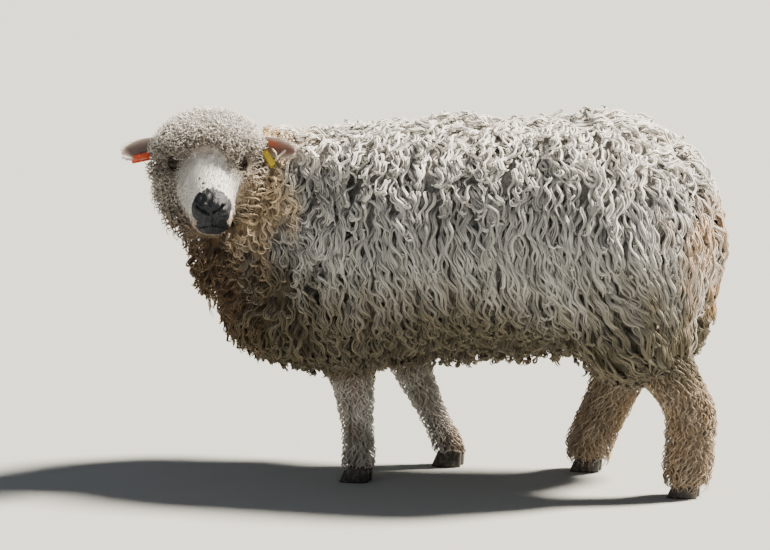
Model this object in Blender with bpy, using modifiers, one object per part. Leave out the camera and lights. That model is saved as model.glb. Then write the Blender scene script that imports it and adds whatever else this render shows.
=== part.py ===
"""A greyface dartmoor sheep at life size, caught in mid stride with its head turned to its left.

The sheep stands along X and faces -X, its left side is -Y, and the floor is z = 0. The body is
modelled whole, as a core with locks of fleece fused to it, and is then parted by thin cuts.
"""

import math
import random

import bmesh
import bpy
import numpy as np
from mathutils import Matrix, Vector

NAME = "greyface_dartmoor_sheep"
GAP = 0.0003
SEED = 11

# The middle of the finished sheep, which becomes the origin on the floor.
MIDDLE = (-0.0600, 0.0)

# Fleece: the envelope is where the tips of the wool lie, as tapered capsules of
# start, end, radius at the start and radius at the end.
BODY_FLATNESS = 0.93
CHEST = Vector((-0.297, 0.0, 0.405))
LOIN = Vector((0.245, 0.0, 0.462))
CHEST_RADIUS = 0.215
LOIN_RADIUS = 0.228
HIP = Vector((0.303, 0.098, 0.425))
STIFLE = Vector((0.328, 0.108, 0.305))
HIP_RADIUS = 0.150
STIFLE_RADIUS = 0.112
SHOULDER = Vector((-0.240, 0.085, 0.400))
ELBOW = Vector((-0.215, 0.095, 0.285))
SHOULDER_RADIUS = 0.150
ELBOW_RADIUS = 0.090
WITHERS = Vector((-0.335, -0.020, 0.445))
NAPE = Vector((-0.462, -0.078, 0.560))
WITHERS_RADIUS = 0.185
NAPE_RADIUS = 0.112
BLEND = 0.060

# Depth of the fleece from skin to tips, and how far up it the solid core reaches.
SIDE_DEPTH = 0.070
BACK_DEPTH = 0.055
BELLY_DEPTH = 0.050
CORE_SHARE = 0.50
CORE_VOXEL = 0.056

# Locks of the fleece: flat and tapered, rooted in the core and lying down the sides.
LOCK_SPACING = 0.096
LOCK_LENGTH = 0.160
BACK_LOCK_LENGTH = 0.120
LOCK_WIDTH = 0.102
LOCK_THICKNESS = 0.044
LOCK_RINGS = 5
LOCK_TRIES = 5000
LOCK_SWAY = 0.010
ROOT_SINK = 0.018
TIP_UNDER = 0.005
HANG_FROM = -0.35
HEM_CLEAR = 0.008
TAPER = (0.62, 1.0, 0.95, 0.70, 0.14)

# Head: the point midway between the eyes, and the lines down the face, up out of
# the forehead and to the sheep's left.
HEAD_TURN = math.radians(14.0)
FACE_SLOPE = math.radians(36.0)
EYE_MID = Vector((-0.458, -0.160, 0.596))
TO_LEFT = Vector((math.cos(HEAD_TURN), math.sin(HEAD_TURN), 0.0))
AHEAD = Vector((math.sin(HEAD_TURN), -math.cos(HEAD_TURN), 0.0))
DOWN_FACE = AHEAD * math.cos(FACE_SLOPE) - Vector((0, 0, 1)) * math.sin(FACE_SLOPE)
OUT_OF_BROW = AHEAD * math.sin(FACE_SLOPE) + Vector((0, 0, 1)) * math.cos(FACE_SLOPE)

# Head sections: distance down the face, half width, and the levels of the top,
# of the widest line and of the underside.
HEAD_SECTIONS = [
    (-0.135, 0.036, -0.020, -0.052, -0.085),
    (-0.085, 0.064, 0.026, -0.030, -0.105),
    (-0.040, 0.071, 0.036, -0.020, -0.112),
    (0.000, 0.069, 0.032, -0.018, -0.108),
    (0.030, 0.057, 0.027, -0.024, -0.100),
    (0.060, 0.047, 0.022, -0.029, -0.092),
    (0.090, 0.041, 0.018, -0.029, -0.088),
    (0.112, 0.0385, 0.013, -0.029, -0.083),
    (0.126, 0.033, 0.005, -0.030, -0.070),
    (0.134, 0.022, -0.007, -0.030, -0.052),
    (0.139, 0.009, -0.021, -0.030, -0.039),
]
CLUMP_SPACING = 0.040
CLUMP_RADIUS = 0.0285
CLUMP_DEPTH = 0.037
CLUMP_SINK = 0.014
CLUMP_TRIES = 2500
FOREHEAD_LINE = -0.014
CHEEK_LINE = 0.036
HEAD_RINGS = 17
HEAD_SIDES = 20
EYE_CLEAR = 0.038
EYE_RADIUS = 0.0145
EYE_PLACE = (0.004, -0.003, 0.0565)
EYE_LOOK = (0.38, 0.18, 1.0)
LID_RADIUS = 0.0034
LID_HALF_LENGTH = 0.0135
LID_HALF_HEIGHT = 0.0105
NOSTRIL_RADIUS = 0.0034
MOUTH_RADIUS = 0.0026

# Ears: where each leaves the skull, its line and its length and width.
EAR_ROOT = (-0.052, 0.012, 0.062)
EAR_LENGTH = 0.099
EAR_HALF_WIDTH = 0.0195
EAR_THICKNESS = 0.0045
EAR_CURL = 0.60
EAR_BOW = 0.012
EAR_FORWARD = 0.10
EAR_RINGS = 9
EAR_CLEAR = 0.0020
TAG_CLEAR = 0.0015
EAR_LEFT_DROOP = 0.16
EAR_RIGHT_DROOP = 0.20

# Ear tags: a plate on both sides of the ear and a pin through it.
TAG_SHARE = 0.60
TAG_LENGTH = 0.034
TAG_HEIGHT = 0.010
TAG_THICKNESS = 0.0016
TAG_PIN = 0.0050
TAG_REACH = 0.0062

# Legs: centre line from the body down to the pastern, and the half width of the core.
FORE_LEFT = [
    ((-0.212, -0.095, 0.290), 0.062),
    ((-0.203, -0.099, 0.205), 0.045),
    ((-0.195, -0.100, 0.150), 0.034),
    ((-0.190, -0.100, 0.095), 0.0285),
    ((-0.188, -0.100, 0.055), 0.0300),
    ((-0.188, -0.100, 0.022), 0.0290),
]
FORE_RIGHT = [
    ((-0.180, 0.095, 0.290), 0.062),
    ((-0.148, 0.099, 0.205), 0.045),
    ((-0.122, 0.100, 0.150), 0.034),
    ((-0.094, 0.100, 0.095), 0.0285),
    ((-0.072, 0.100, 0.055), 0.0300),
    ((-0.060, 0.100, 0.022), 0.0290),
]
HIND_LEFT = [
    ((0.325, -0.110, 0.330), 0.085),
    ((0.383, -0.114, 0.240), 0.062),
    ((0.432, -0.115, 0.165), 0.049),
    ((0.435, -0.113, 0.105), 0.045),
    ((0.431, -0.110, 0.060), 0.046),
    ((0.429, -0.110, 0.022), 0.039),
]
HIND_RIGHT = [
    ((0.266, 0.110, 0.330), 0.085),
    ((0.266, 0.114, 0.240), 0.062),
    ((0.252, 0.115, 0.165), 0.051),
    ((0.226, 0.113, 0.105), 0.048),
    ((0.207, 0.110, 0.060), 0.046),
    ((0.203, 0.110, 0.022), 0.038),
]
LEGS = {
    "foreleg_left": FORE_LEFT,
    "foreleg_right": FORE_RIGHT,
    "hindleg_left": HIND_LEFT,
    "hindleg_right": HIND_RIGHT,
}
LEG_FLATNESS = 0.88
LEG_SIDES = 8
LEG_RINGS = 8
LEG_LOCK_LENGTH = 0.078
LEG_LOCK_WIDTH = 0.058
LEG_LOCK_THICKNESS = 0.026
LEG_LOCK_DEPTH = 0.008
LEG_LOCK_SINK = 0.012
HIND_LOCK_ROWS = 3
FORE_LOCK_ROWS = 2

# Hooves: two claws to a foot, with flat soles on the floor.
CLAW_LENGTH = 0.056
CLAW_WIDTH = 0.0245
CLAW_HEIGHT = 0.0300
CLAW_SPREAD = 0.0137
CLAW_SIDES = 10
PASTERN_CUT = CLAW_HEIGHT + GAP

# Tail: short and woolly, in a slot of the rump.
TAIL_TOP = Vector((0.400, 0.0, 0.575))
TAIL_END = Vector((0.440, 0.0, 0.350))
TAIL_HALF_WIDTH = 0.036

# Thin cuts: a point on each plane and its normal.
NECK_CUT = (Vector((-0.360, -0.050, 0.520)), Vector((-0.75, -0.30, 0.59)).normalized())
JAW_CUT = (Vector((-0.460, -0.130, 0.470)), Vector((0.111, -0.446, 0.888)).normalized())
POLL_CUT = (Vector((-0.480, -0.072, 0.620)), Vector((0.230, -0.920, 0.245)).normalized())
CHEEK_LIMIT = 0.114
CHEEK_CUT = (EYE_MID + TO_LEFT * CHEEK_LIMIT, -TO_LEFT)
HEAD_PLANES = [JAW_CUT, POLL_CUT, CHEEK_CUT]
TAIL_LINE = (TAIL_END - TAIL_TOP).normalized()
TAIL_BACK = Vector((-TAIL_LINE.z, 0, TAIL_LINE.x))
TAIL_PLANES = [
    (TAIL_TOP - TAIL_BACK * 0.012, TAIL_BACK),
    (Vector((0, TAIL_HALF_WIDTH, 0)), Vector((0, -1, 0))),
    (Vector((0, -TAIL_HALF_WIDTH, 0)), Vector((0, 1, 0))),
    (TAIL_END - Vector((0, 0, 0.012)), Vector((0, 0, 1))),
    (TAIL_TOP + Vector((0, 0, 0.012)), Vector((0, 0, -1))),
]
BARREL_FRONT = -0.120
BARREL_BACK = 0.170
FORE_HEM = 0.188
HIND_HEMS = {
    "left": ((0.300, 0.185), (0.470, 0.275)),
    "right": ((0.300, 0.185), (0.470, 0.190)),
}

COLOURS = {
    "fleece": ((0.56, 0.53, 0.47), 0.95),
    "head_wool": ((0.45, 0.41, 0.35), 0.95),
    "leg_wool": ((0.30, 0.24, 0.19), 0.95),
    "eye": ((0.02, 0.015, 0.012), 0.10),
    "ear_skin": ((0.50, 0.40, 0.36), 0.80),
    "tag_yellow": ((0.80, 0.62, 0.06), 0.45),
    "tag_orange": ((0.82, 0.22, 0.04), 0.45),
    "hoof": ((0.03, 0.027, 0.025), 0.55),
}


def clear_scene():
    """Removes every object that the file starts with."""
    for item in list(bpy.data.objects):
        bpy.data.objects.remove(item, do_unlink=True)


def new_collection(name):
    """A collection linked to the scene."""
    made = bpy.data.collections.new(name)
    bpy.context.scene.collection.children.link(made)
    return made


def material(name):
    """The Principled material of one finish."""
    found = bpy.data.materials.get(name)
    if found:
        return found
    colour, roughness = COLOURS[name]
    made = bpy.data.materials.new(name)
    made.use_nodes = True
    shader = made.node_tree.nodes["Principled BSDF"]
    shader.inputs["Base Color"].default_value = (*colour, 1.0)
    shader.inputs["Roughness"].default_value = roughness
    shader.inputs["Metallic"].default_value = 0.0
    return made


def add_object(name, mesh, collection):
    """An object of this mesh in a collection."""
    made = bpy.data.objects.new(name, mesh)
    collection.objects.link(made)
    return made


def mesh_from(name, shape):
    """A mesh from a bmesh, with its faces turned outwards."""
    bmesh.ops.recalc_face_normals(shape, faces=shape.faces)
    mesh = bpy.data.meshes.new(name)
    shape.to_mesh(mesh)
    shape.free()
    return mesh


def loft(name, rings):
    """A closed mesh through rings of as many points each, with a fan at both ends."""
    shape = bmesh.new()
    rows = [[shape.verts.new(p) for p in ring] for ring in rings]
    count = len(rows[0])
    for low, high in zip(rows, rows[1:]):
        for i in range(count):
            j = (i + 1) % count
            shape.faces.new((low[i], low[j], high[j], high[i]))
    shape.faces.new(rows[0])
    shape.faces.new(rows[-1])
    bmesh.ops.triangulate(shape, faces=shape.faces)
    return mesh_from(name, shape)


def curve_through(table, at):
    """Smooth values of a table of rows (place, value, ...) at one place."""
    places = [row[0] for row in table]
    i = int(np.clip(np.searchsorted(places, at) - 1, 0, len(table) - 2))
    rows = [np.array(table[int(np.clip(k, 0, len(table) - 1))]) for k in range(i - 1, i + 3)]
    t = (at - rows[1][0]) / (rows[2][0] - rows[1][0])
    values = 0.5 * (
        2 * rows[1]
        + (rows[2] - rows[0]) * t
        + (2 * rows[0] - 5 * rows[1] + 4 * rows[2] - rows[3]) * t**2
        + (3 * rows[1] - rows[0] - 3 * rows[2] + rows[3]) * t**3
    )
    return values[1:]


def capsule_distance(p, start, end, start_radius, end_radius):
    """Distance from points to a tapered capsule."""
    a = np.array(start)
    along = np.array(end) - a
    t = np.clip((p - a) @ along / (along @ along), 0.0, 1.0)
    apart = np.linalg.norm(p - a - t[:, None] * along, axis=1)
    return apart - (start_radius + (end_radius - start_radius) * t)


def soft_union(first, second, blend):
    """The smaller of two distances, eased where they are alike."""
    share = np.clip(0.5 + 0.5 * (second - first) / blend, 0.0, 1.0)
    return second + (first - second) * share - blend * share * (1.0 - share)


def mirrored(place, side):
    """A place on the left (-1) or right (1) side."""
    return Vector((place[0], side * place[1], place[2]))


def envelope(p):
    """Distance from points to the surface on which the wool's tips lie."""
    p = np.asarray(p, float)
    flat = p * np.array((1.0, BODY_FLATNESS, 1.0))
    found = capsule_distance(flat, CHEST, LOIN, CHEST_RADIUS, LOIN_RADIUS)
    for side in (-1, 1):
        thigh = capsule_distance(
            p, mirrored(HIP, side), mirrored(STIFLE, side), HIP_RADIUS, STIFLE_RADIUS
        )
        arm = capsule_distance(
            p, mirrored(SHOULDER, side), mirrored(ELBOW, side), SHOULDER_RADIUS, ELBOW_RADIUS
        )
        found = soft_union(found, thigh, BLEND)
        found = soft_union(found, arm, BLEND)
    neck = capsule_distance(p, WITHERS, NAPE, WITHERS_RADIUS, NAPE_RADIUS)
    return soft_union(found, neck, BLEND)


def outward(p):
    """Unit normals of the envelope at points."""
    step = 0.002
    columns = []
    for axis in range(3):
        offset = np.zeros(3)
        offset[axis] = step
        columns.append(envelope(p + offset) - envelope(p - offset))
    normal = np.stack(columns, axis=1)
    return normal / np.linalg.norm(normal, axis=1)[:, None]


def fleece_depth(normal):
    """Depth of the fleece where the envelope faces this way."""
    up = np.clip(normal[:, 2], -1.0, 1.0)
    back = np.clip(up, 0.0, 1.0) ** 2
    belly = np.clip(-up, 0.0, 1.0) ** 2
    return SIDE_DEPTH + (BACK_DEPTH - SIDE_DEPTH) * back + (BELLY_DEPTH - SIDE_DEPTH) * belly


def settle(p, share, rounds=6):
    """Moves points to this share of the way from the skin to the tips."""
    for _ in range(rounds):
        normal = outward(p)
        level = -fleece_depth(normal) * (1.0 - share)
        p = p - normal * (envelope(p) - level)[:, None]
    return p


def head_point(down, up, left):
    """A place on the head, from its distances down the face, out of the brow and to the left."""
    return EYE_MID + DOWN_FACE * down + OUT_OF_BROW * up + TO_LEFT * left


def skull_surface(down, angle, proud=0.0):
    """A point on the bare head, by its distance down the face and its angle round it."""
    half_width, top, side, bottom = curve_through(HEAD_SECTIONS, down)
    reach = (top - side) if math.sin(angle) > 0 else (side - bottom)
    left = (half_width + proud) * math.copysign(abs(math.cos(angle)) ** 0.88, math.cos(angle))
    up = side + (reach + proud) * math.copysign(abs(math.sin(angle)) ** 0.88, math.sin(angle))
    return head_point(down, up, left)


def hide_cutter(item):
    """Keeps a cutter out of renders and shows it as wires."""
    item.hide_render = True
    item.display_type = "WIRE"
    return item


def apply_boolean(item, operation, other=None, collection=None):
    """Joins, cuts or keeps what is common, and leaves the result as the object's mesh."""
    cut = item.modifiers.new("cut", "BOOLEAN")
    cut.operation = operation
    cut.solver = "MANIFOLD"
    if collection:
        cut.operand_type = "COLLECTION"
        cut.collection = collection
    else:
        cut.object = other
    bpy.context.view_layer.update()
    seen = item.evaluated_get(bpy.context.evaluated_depsgraph_get())
    mesh = bpy.data.meshes.new_from_object(seen)
    item.modifiers.clear()
    item.data = mesh


def keep_largest(item):
    """Keeps only the largest closed surface of an object."""
    shape = bmesh.new()
    shape.from_mesh(item.data)
    bmesh.ops.remove_doubles(shape, verts=shape.verts, dist=1e-6)
    bmesh.ops.dissolve_degenerate(shape, edges=shape.edges, dist=1e-6)
    bmesh.ops.triangulate(shape, faces=shape.faces)
    waiting = set(shape.verts)
    groups = []
    while waiting:
        front = [waiting.pop()]
        group = set(front)
        while front:
            for edge in front.pop().link_edges:
                for vert in edge.verts:
                    if vert in waiting:
                        waiting.remove(vert)
                        group.add(vert)
                        front.append(vert)
        groups.append(group)
    groups.sort(key=lambda group: box_volume(group), reverse=True)
    loose = [vert for group in groups[1:] for vert in group]
    bmesh.ops.delete(shape, geom=loose, context="VERTS")
    item.data = mesh_from(item.name, shape)


def box_volume(verts):
    """Volume of the box round some vertices."""
    spans = [[vert.co[axis] for vert in verts] for axis in range(3)]
    return math.prod(max(span) - min(span) + 1e-9 for span in spans)


def fuse(item, pieces, collection_name):
    """Joins pieces to an object in one union, and removes them."""
    group = new_collection(collection_name)
    for number, mesh in enumerate(pieces):
        hide_cutter(add_object(f"{collection_name}_{number}", mesh, group))
    apply_boolean(item, "UNION", collection=group)
    for piece in list(group.objects):
        bpy.data.objects.remove(piece, do_unlink=True)
    bpy.data.collections.remove(group)


def cell(name, planes, cutters):
    """A convex cutter: a large block with the outer side of each plane cut away."""
    shape = bmesh.new()
    bmesh.ops.create_cube(shape, size=3.0)
    for point, normal in planes:
        geometry = list(shape.verts) + list(shape.edges) + list(shape.faces)
        bmesh.ops.bisect_plane(
            shape, geom=geometry, plane_co=point, plane_no=-Vector(normal), clear_outer=True
        )
        edges = [edge for edge in shape.edges if edge.is_boundary]
        bmesh.ops.contextual_create(shape, geom=edges)
    return hide_cutter(add_object(name, mesh_from(name, shape), cutters))


def moved_in(planes, distance):
    """The planes of a cell, each moved into it by a distance."""
    return [(point + Vector(normal) * distance, Vector(normal)) for point, normal in planes]


def tube(name, points, radii, sides):
    """A closed tube of flat-sided rings through points."""
    points = [Vector(p) for p in points]
    rings = []
    for i, centre in enumerate(points):
        along = (points[min(i + 1, len(points) - 1)] - points[max(i - 1, 0)]).normalized()
        across = along.cross(Vector((0, 1, 0))).normalized()
        aside = across.cross(along)
        wide, thick = radii[i]
        rings.append(
            [
                centre
                + across * wide * math.cos(2 * math.pi * k / sides)
                + aside * thick * math.sin(2 * math.pi * k / sides)
                for k in range(sides)
            ]
        )
    return loft(name, rings)


def body_core():
    """The solid under the locks: rough balls, remeshed and settled at its level."""
    shape = bmesh.new()
    balls = [
        (CHEST, CHEST_RADIUS),
        (LOIN, LOIN_RADIUS),
        ((CHEST + LOIN) / 2, CHEST_RADIUS),
        (CHEST.lerp(LOIN, 0.25), CHEST_RADIUS),
        (CHEST.lerp(LOIN, 0.75), CHEST_RADIUS),
        (WITHERS, WITHERS_RADIUS),
        (NAPE, NAPE_RADIUS),
        (WITHERS.lerp(NAPE, 0.5), (WITHERS_RADIUS + NAPE_RADIUS) / 2),
    ]
    for side in (-1, 1):
        balls.append((mirrored(HIP, side), HIP_RADIUS))
        balls.append((mirrored(STIFLE, side), STIFLE_RADIUS))
        balls.append((mirrored(SHOULDER, side), SHOULDER_RADIUS))
        balls.append((mirrored(ELBOW, side), ELBOW_RADIUS))
    for centre, radius in balls:
        bmesh.ops.create_icosphere(
            shape, subdivisions=3, radius=radius * 0.85, matrix=Matrix.Translation(centre)
        )
    mesh = mesh_from("core", shape)
    item = add_object("core", mesh, bpy.context.scene.collection)
    remesh = item.modifiers.new("remesh", "REMESH")
    remesh.mode = "VOXEL"
    remesh.voxel_size = CORE_VOXEL
    bpy.context.view_layer.update()
    seen = item.evaluated_get(bpy.context.evaluated_depsgraph_get())
    smooth = bpy.data.meshes.new_from_object(seen)
    bpy.data.objects.remove(item, do_unlink=True)
    points = np.array([vert.co for vert in smooth.vertices])
    points = settle(points, CORE_SHARE)
    for vert, place in zip(smooth.vertices, points):
        vert.co = place
    shape = bmesh.new()
    shape.from_mesh(smooth)
    bmesh.ops.triangulate(shape, faces=shape.faces)
    return mesh_from("core", shape)


def leg_core(name, line):
    """A leg's flesh and the lower half of its wool, from inside the body to the pastern."""
    table = [(i, *place, radius) for i, (place, radius) in enumerate(line)]
    points = []
    radii = []
    for i in range(LEG_RINGS):
        x, y, z, radius = curve_through(table, i * (len(line) - 1) / (LEG_RINGS - 1))
        points.append((x, y, z))
        radii.append((radius, radius * LEG_FLATNESS))
    return tube(name, points, radii, LEG_SIDES)


def head_core():
    """The bare head as a loft of sections down the face, with its mouth, nostrils and sockets."""
    first, last = HEAD_SECTIONS[0][0], HEAD_SECTIONS[-1][0]
    rings = []
    for i in range(HEAD_RINGS):
        share = i / (HEAD_RINGS - 1)
        down = first + (last - first) * (1 - (1 - share) ** 1.35)
        rings.append(
            [
                skull_surface(down, 2 * math.pi * k / HEAD_SIDES)
                for k in range(HEAD_SIDES)
            ]
        )
    return loft("head", rings)


def head_clumps():
    """Rounded clumps of curly wool, set close over the crown, the cheeks and the throat."""
    rng = random.Random(SEED + 1)
    roots = []
    clumps = []
    for _ in range(CLUMP_TRIES):
        down = rng.uniform(-0.118, CHEEK_LINE)
        angle = rng.uniform(0, 2 * math.pi)
        height = math.sin(angle)
        if height > 0.25 and down > FOREHEAD_LINE:
            continue
        root = skull_surface(down, angle)
        if any((root - other).length < CLUMP_SPACING for other in roots):
            continue
        if min((root - eye_frame(side)[0]).length for side in (-1, 1)) < EYE_CLEAR:
            continue
        middle = curve_through(HEAD_SECTIONS, down)[2]
        normal = (root - head_point(down - 0.012, middle, 0)).normalized()
        roots.append(root)
        depth = CLUMP_DEPTH * rng.uniform(0.88, 1.08)
        if height > 0.25:
            depth *= 0.85 + 0.25 * min(1.0, (FOREHEAD_LINE - down) / 0.05)
        clumps.append(clump_mesh(root, normal, depth, CLUMP_RADIUS * rng.uniform(0.9, 1.12), rng))
    return clumps


def clump_mesh(root, normal, depth, radius, rng):
    """One rounded clump, standing on its root and sunk into what it grows from."""
    lean = Vector([rng.uniform(-0.25, 0.25) for _ in range(3)])
    axis = (normal + lean).normalized()
    across = axis.orthogonal().normalized()
    aside = axis.cross(across)
    half = (depth + CLUMP_SINK) / 2
    frame = Matrix((across * radius, aside * radius, axis * half)).transposed().to_4x4()
    frame.translation = root + axis * (half - CLUMP_SINK)
    shape = bmesh.new()
    bmesh.ops.create_icosphere(shape, subdivisions=1, radius=1.0, matrix=frame)
    return mesh_from("clump", shape)


def beyond(planes, p):
    """How far a place lies inside the cell of some planes."""
    return min((Vector(p) - point).dot(normal) for point, normal in planes)


def hem_height(x, y):
    """The level that no lock of the body may hang below."""
    if x < (BARREL_FRONT + BARREL_BACK) / 2:
        return FORE_HEM + HEM_CLEAR
    (low_x, low_z), (high_x, high_z) = HIND_HEMS["left" if y < 0 else "right"]
    share = max((x - low_x) / (high_x - low_x), 0.0)
    return low_z + (high_z - low_z) * share + HEM_CLEAR


def lie_of_wool(p, normal):
    """The way the wool lies at a place: back along the spine, then down and a little back."""
    spine = min(max((normal[2] - 0.70) / 0.25, 0.0), 1.0)
    fall = np.array((0.12 + 2.2 * spine, 0.35 * math.copysign(1.0, p[1]), -1.0))
    if normal[2] < HANG_FROM:
        return fall / np.linalg.norm(fall)
    along = fall - normal * (fall @ normal)
    return along / max(np.linalg.norm(along), 1e-6)


def lock_line(root, length, sway):
    """Places and normals along one lock, from inside the core to its tip."""
    p = np.array(root)
    normal = outward(p[None])[0]
    core = -fleece_depth(normal[None])[0] * (1.0 - CORE_SHARE)
    places = []
    normals = []
    step = length / (LOCK_RINGS - 1)
    for i in range(LOCK_RINGS):
        share = i / (LOCK_RINGS - 1)
        rise = min(share * 1.5, 1.0)
        level = (core - ROOT_SINK) * (1 - rise) - TIP_UNDER * rise
        if i:
            along = lie_of_wool(p, normal)
            across = np.cross(normal, along)
            p = p + step * along + across * sway * math.cos(2.6 * share)
        normal = outward(p[None])[0]
        off = float(envelope(p[None])[0]) - level
        if normal[2] < HANG_FROM and i:
            off = max(off, 0.0)
        p = p - normal * off
        places.append(Vector(p))
        normals.append(Vector(normal))
    return places, normals


def lock_mesh(places, normals, width, thickness):
    """A flat, tapered lock through places, lying against a surface with these normals."""
    rings = []
    last = len(places) - 1
    for i, (centre, normal) in enumerate(zip(places, normals)):
        along = (places[min(i + 1, last)] - places[max(i - 1, 0)]).normalized()
        across = normal.cross(along).normalized()
        out = along.cross(across)
        wide = across * width / 2 * TAPER[i * (len(TAPER) - 1) // last]
        thick = out * thickness / 2 * (0.45 + 0.55 * TAPER[i * (len(TAPER) - 1) // last])
        rings.append([centre + wide, centre + thick, centre - wide])
    return loft("lock", rings)


def body_locks(kept_clear):
    """The fleece's locks, spread evenly over the core and clear of other nodes' cells."""
    rng = random.Random(SEED)
    tries = np.array(
        [
            (rng.uniform(-0.60, 0.50), rng.uniform(-0.26, 0.26), rng.uniform(0.18, 0.72))
            for _ in range(LOCK_TRIES)
        ]
    )
    tries = settle(tries, CORE_SHARE)
    facing = outward(tries)
    roots = []
    locks = []
    for place, normal in zip(tries, facing):
        spacing = LOCK_SPACING * (0.86 + 0.14 * (1 - abs(normal[2])))
        if any(np.linalg.norm(place - other) < spacing for other in roots):
            continue
        if any(beyond(planes, place) > -0.004 for planes in kept_clear):
            continue
        if place[2] < hem_height(place[0], place[1]) + 0.012:
            continue
        roots.append(place)
        length = LOCK_LENGTH + (BACK_LOCK_LENGTH - LOCK_LENGTH) * max(normal[2], 0.0) ** 1.5
        length *= rng.uniform(0.85, 1.15)
        sway = LOCK_SWAY * rng.choice((-1, 1)) * rng.uniform(0.5, 1.2)
        width = LOCK_WIDTH * rng.uniform(0.85, 1.15)
        places, normals = lock_line(place, length, sway)
        while min(p.z - hem_height(p.x, p.y) for p in places) < 0 and length > 0.04:
            length *= 0.85
            places, normals = lock_line(place, length, sway)
        locks.append(lock_mesh(places, normals, width, LOCK_THICKNESS))
    return locks


def leg_locks(line, rows, seed):
    """Short locks down one leg, rooted in its core and laid over each other."""
    rng = random.Random(seed)
    table = [(i, *place, radius) for i, (place, radius) in enumerate(line)]
    top = len(line) - 1
    locks = []
    for row in range(rows):
        at = top * (0.30 + 0.46 * row / (rows - 1))
        x, y, z, radius = curve_through(table, at)
        lower = curve_through(table, at + 0.3)
        run = (Vector(lower[:3]) - Vector((x, y, z))) / 0.3
        along = run.normalized()
        count = max(4, round(2 * math.pi * radius / LEG_LOCK_WIDTH))
        for k in range(count):
            turn = 2 * math.pi * (k + 0.5 * (row % 2) + rng.uniform(-0.15, 0.15)) / count
            forward = Vector((0, 1, 0)).cross(along).normalized()
            out = forward * math.cos(turn) + Vector((0, 1, 0)) * math.sin(turn) * LEG_FLATNESS
            reach = out.length
            out.normalize()
            length = LEG_LOCK_LENGTH * rng.uniform(0.85, 1.1)
            places = []
            for i in range(4):
                share = i / 3
                x, y, z, radius = curve_through(table, min(at + length * share / run.length, top))
                lift = (LEG_LOCK_DEPTH + LEG_LOCK_SINK) * min(1.6 * share, 1.0) - LEG_LOCK_SINK
                places.append(Vector((x, y, z)) + out * (radius * reach + lift))
            if places[-1].z < PASTERN_CUT + 0.004:
                continue
            normals = [out.copy() for _ in places]
            locks.append(lock_mesh(places, normals, LEG_LOCK_WIDTH, LEG_LOCK_THICKNESS))
    return locks


def eye_frame(side):
    """The eye's centre, the way it looks, and its long and high directions."""
    down, up, left = EYE_PLACE
    centre = head_point(down, up, side * left)
    look_down, look_up, look_left = EYE_LOOK
    look = DOWN_FACE * look_down + OUT_OF_BROW * look_up + TO_LEFT * side * look_left
    look.normalize()
    high = (OUT_OF_BROW - look * OUT_OF_BROW.dot(look)).normalized()
    return centre, look, look.cross(high), high


def ball(name, centre, radius, segments=12, rings=8):
    """A round ball."""
    shape = bmesh.new()
    bmesh.ops.create_uvsphere(
        shape,
        u_segments=segments,
        v_segments=rings,
        radius=radius,
        matrix=Matrix.Translation(centre),
    )
    bmesh.ops.triangulate(shape, faces=shape.faces)
    return mesh_from(name, shape)


def ring_of_lids(side):
    """The two lids of one eye, as one soft ring that lies on the ball."""
    centre, look, long, high = eye_frame(side)
    rings = []
    count = 14
    for i in range(count):
        turn = 2 * math.pi * i / count
        flat = long * LID_HALF_LENGTH * math.cos(turn) + high * LID_HALF_HEIGHT * math.sin(turn)
        depth = math.sqrt(max(EYE_RADIUS**2 - flat.length_squared, 0.0))
        middle = centre + flat + look * depth
        radial = flat.normalized()
        ring = []
        for k in range(5):
            around = 2 * math.pi * k / 5
            ring.append(
                middle
                + radial * LID_RADIUS * 1.5 * math.cos(around)
                + look * LID_RADIUS * math.sin(around)
            )
        rings.append(ring)
    shape = bmesh.new()
    rows = [[shape.verts.new(p) for p in ring] for ring in rings]
    for i in range(count):
        low, high_row = rows[i], rows[(i + 1) % count]
        for k in range(5):
            j = (k + 1) % 5
            shape.faces.new((low[k], low[j], high_row[j], high_row[k]))
    bmesh.ops.triangulate(shape, faces=shape.faces)
    return mesh_from(f"lids_{side}", shape)


def muzzle_line(points, radius, name):
    """A groove cutter along points given as distance down the face and angle round it."""
    places = [skull_surface(down, angle) for down, angle in points]
    return tube(name, places, [(radius, radius)] * len(places), 6)


def nostril_points(side):
    """One nostril's slit, from its outer end down to the middle of the nose."""
    points = []
    for i in range(5):
        share = i / 4
        across = math.radians(22 + 34 * share)
        points.append((0.1315 - 0.006 * share, math.pi / 2 - side * across))
    return points


def mouth_points():
    """The line between the lips, from one corner of the mouth round the front to the other."""
    points = []
    count = 13
    for i in range(count):
        share = 2 * i / (count - 1) - 1
        down = 0.131 - 0.050 * abs(share) ** 2.2
        swing = math.radians(78) * (1 if share >= 0 else -1) * abs(share) ** 0.7
        points.append((down, -math.pi / 2 + swing))
    return points


def ear_place(side, share):
    """A place along the ear's middle line, the ear's directions, and how deep its cup is there."""
    down, up, left = EAR_ROOT
    root = head_point(down, up, side * left)
    droop = EAR_LEFT_DROOP if side > 0 else EAR_RIGHT_DROOP
    out = (TO_LEFT * side - Vector((0, 0, 1)) * droop + AHEAD * EAR_FORWARD).normalized()
    face = (AHEAD - out * AHEAD.dot(out)).normalized()
    rise = out.cross(face)
    if rise.z < 0:
        rise = -rise
    centre = root + out * EAR_LENGTH * share - face * EAR_BOW * math.sin(math.pi * share)
    return centre, out, face, rise, ear_width(share) * EAR_CURL * (1 - 0.3 * share)


def ear_width(share):
    """Half the width of the ear at a share of its length."""
    width = EAR_HALF_WIDTH * (0.50 + 0.50 * math.sin(math.pi * min(share * 1.35, 1.0) / 2))
    past = max(share - 0.45, 0.0) / 0.55
    return width * math.sqrt(1 - 0.985 * past**2)


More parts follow.
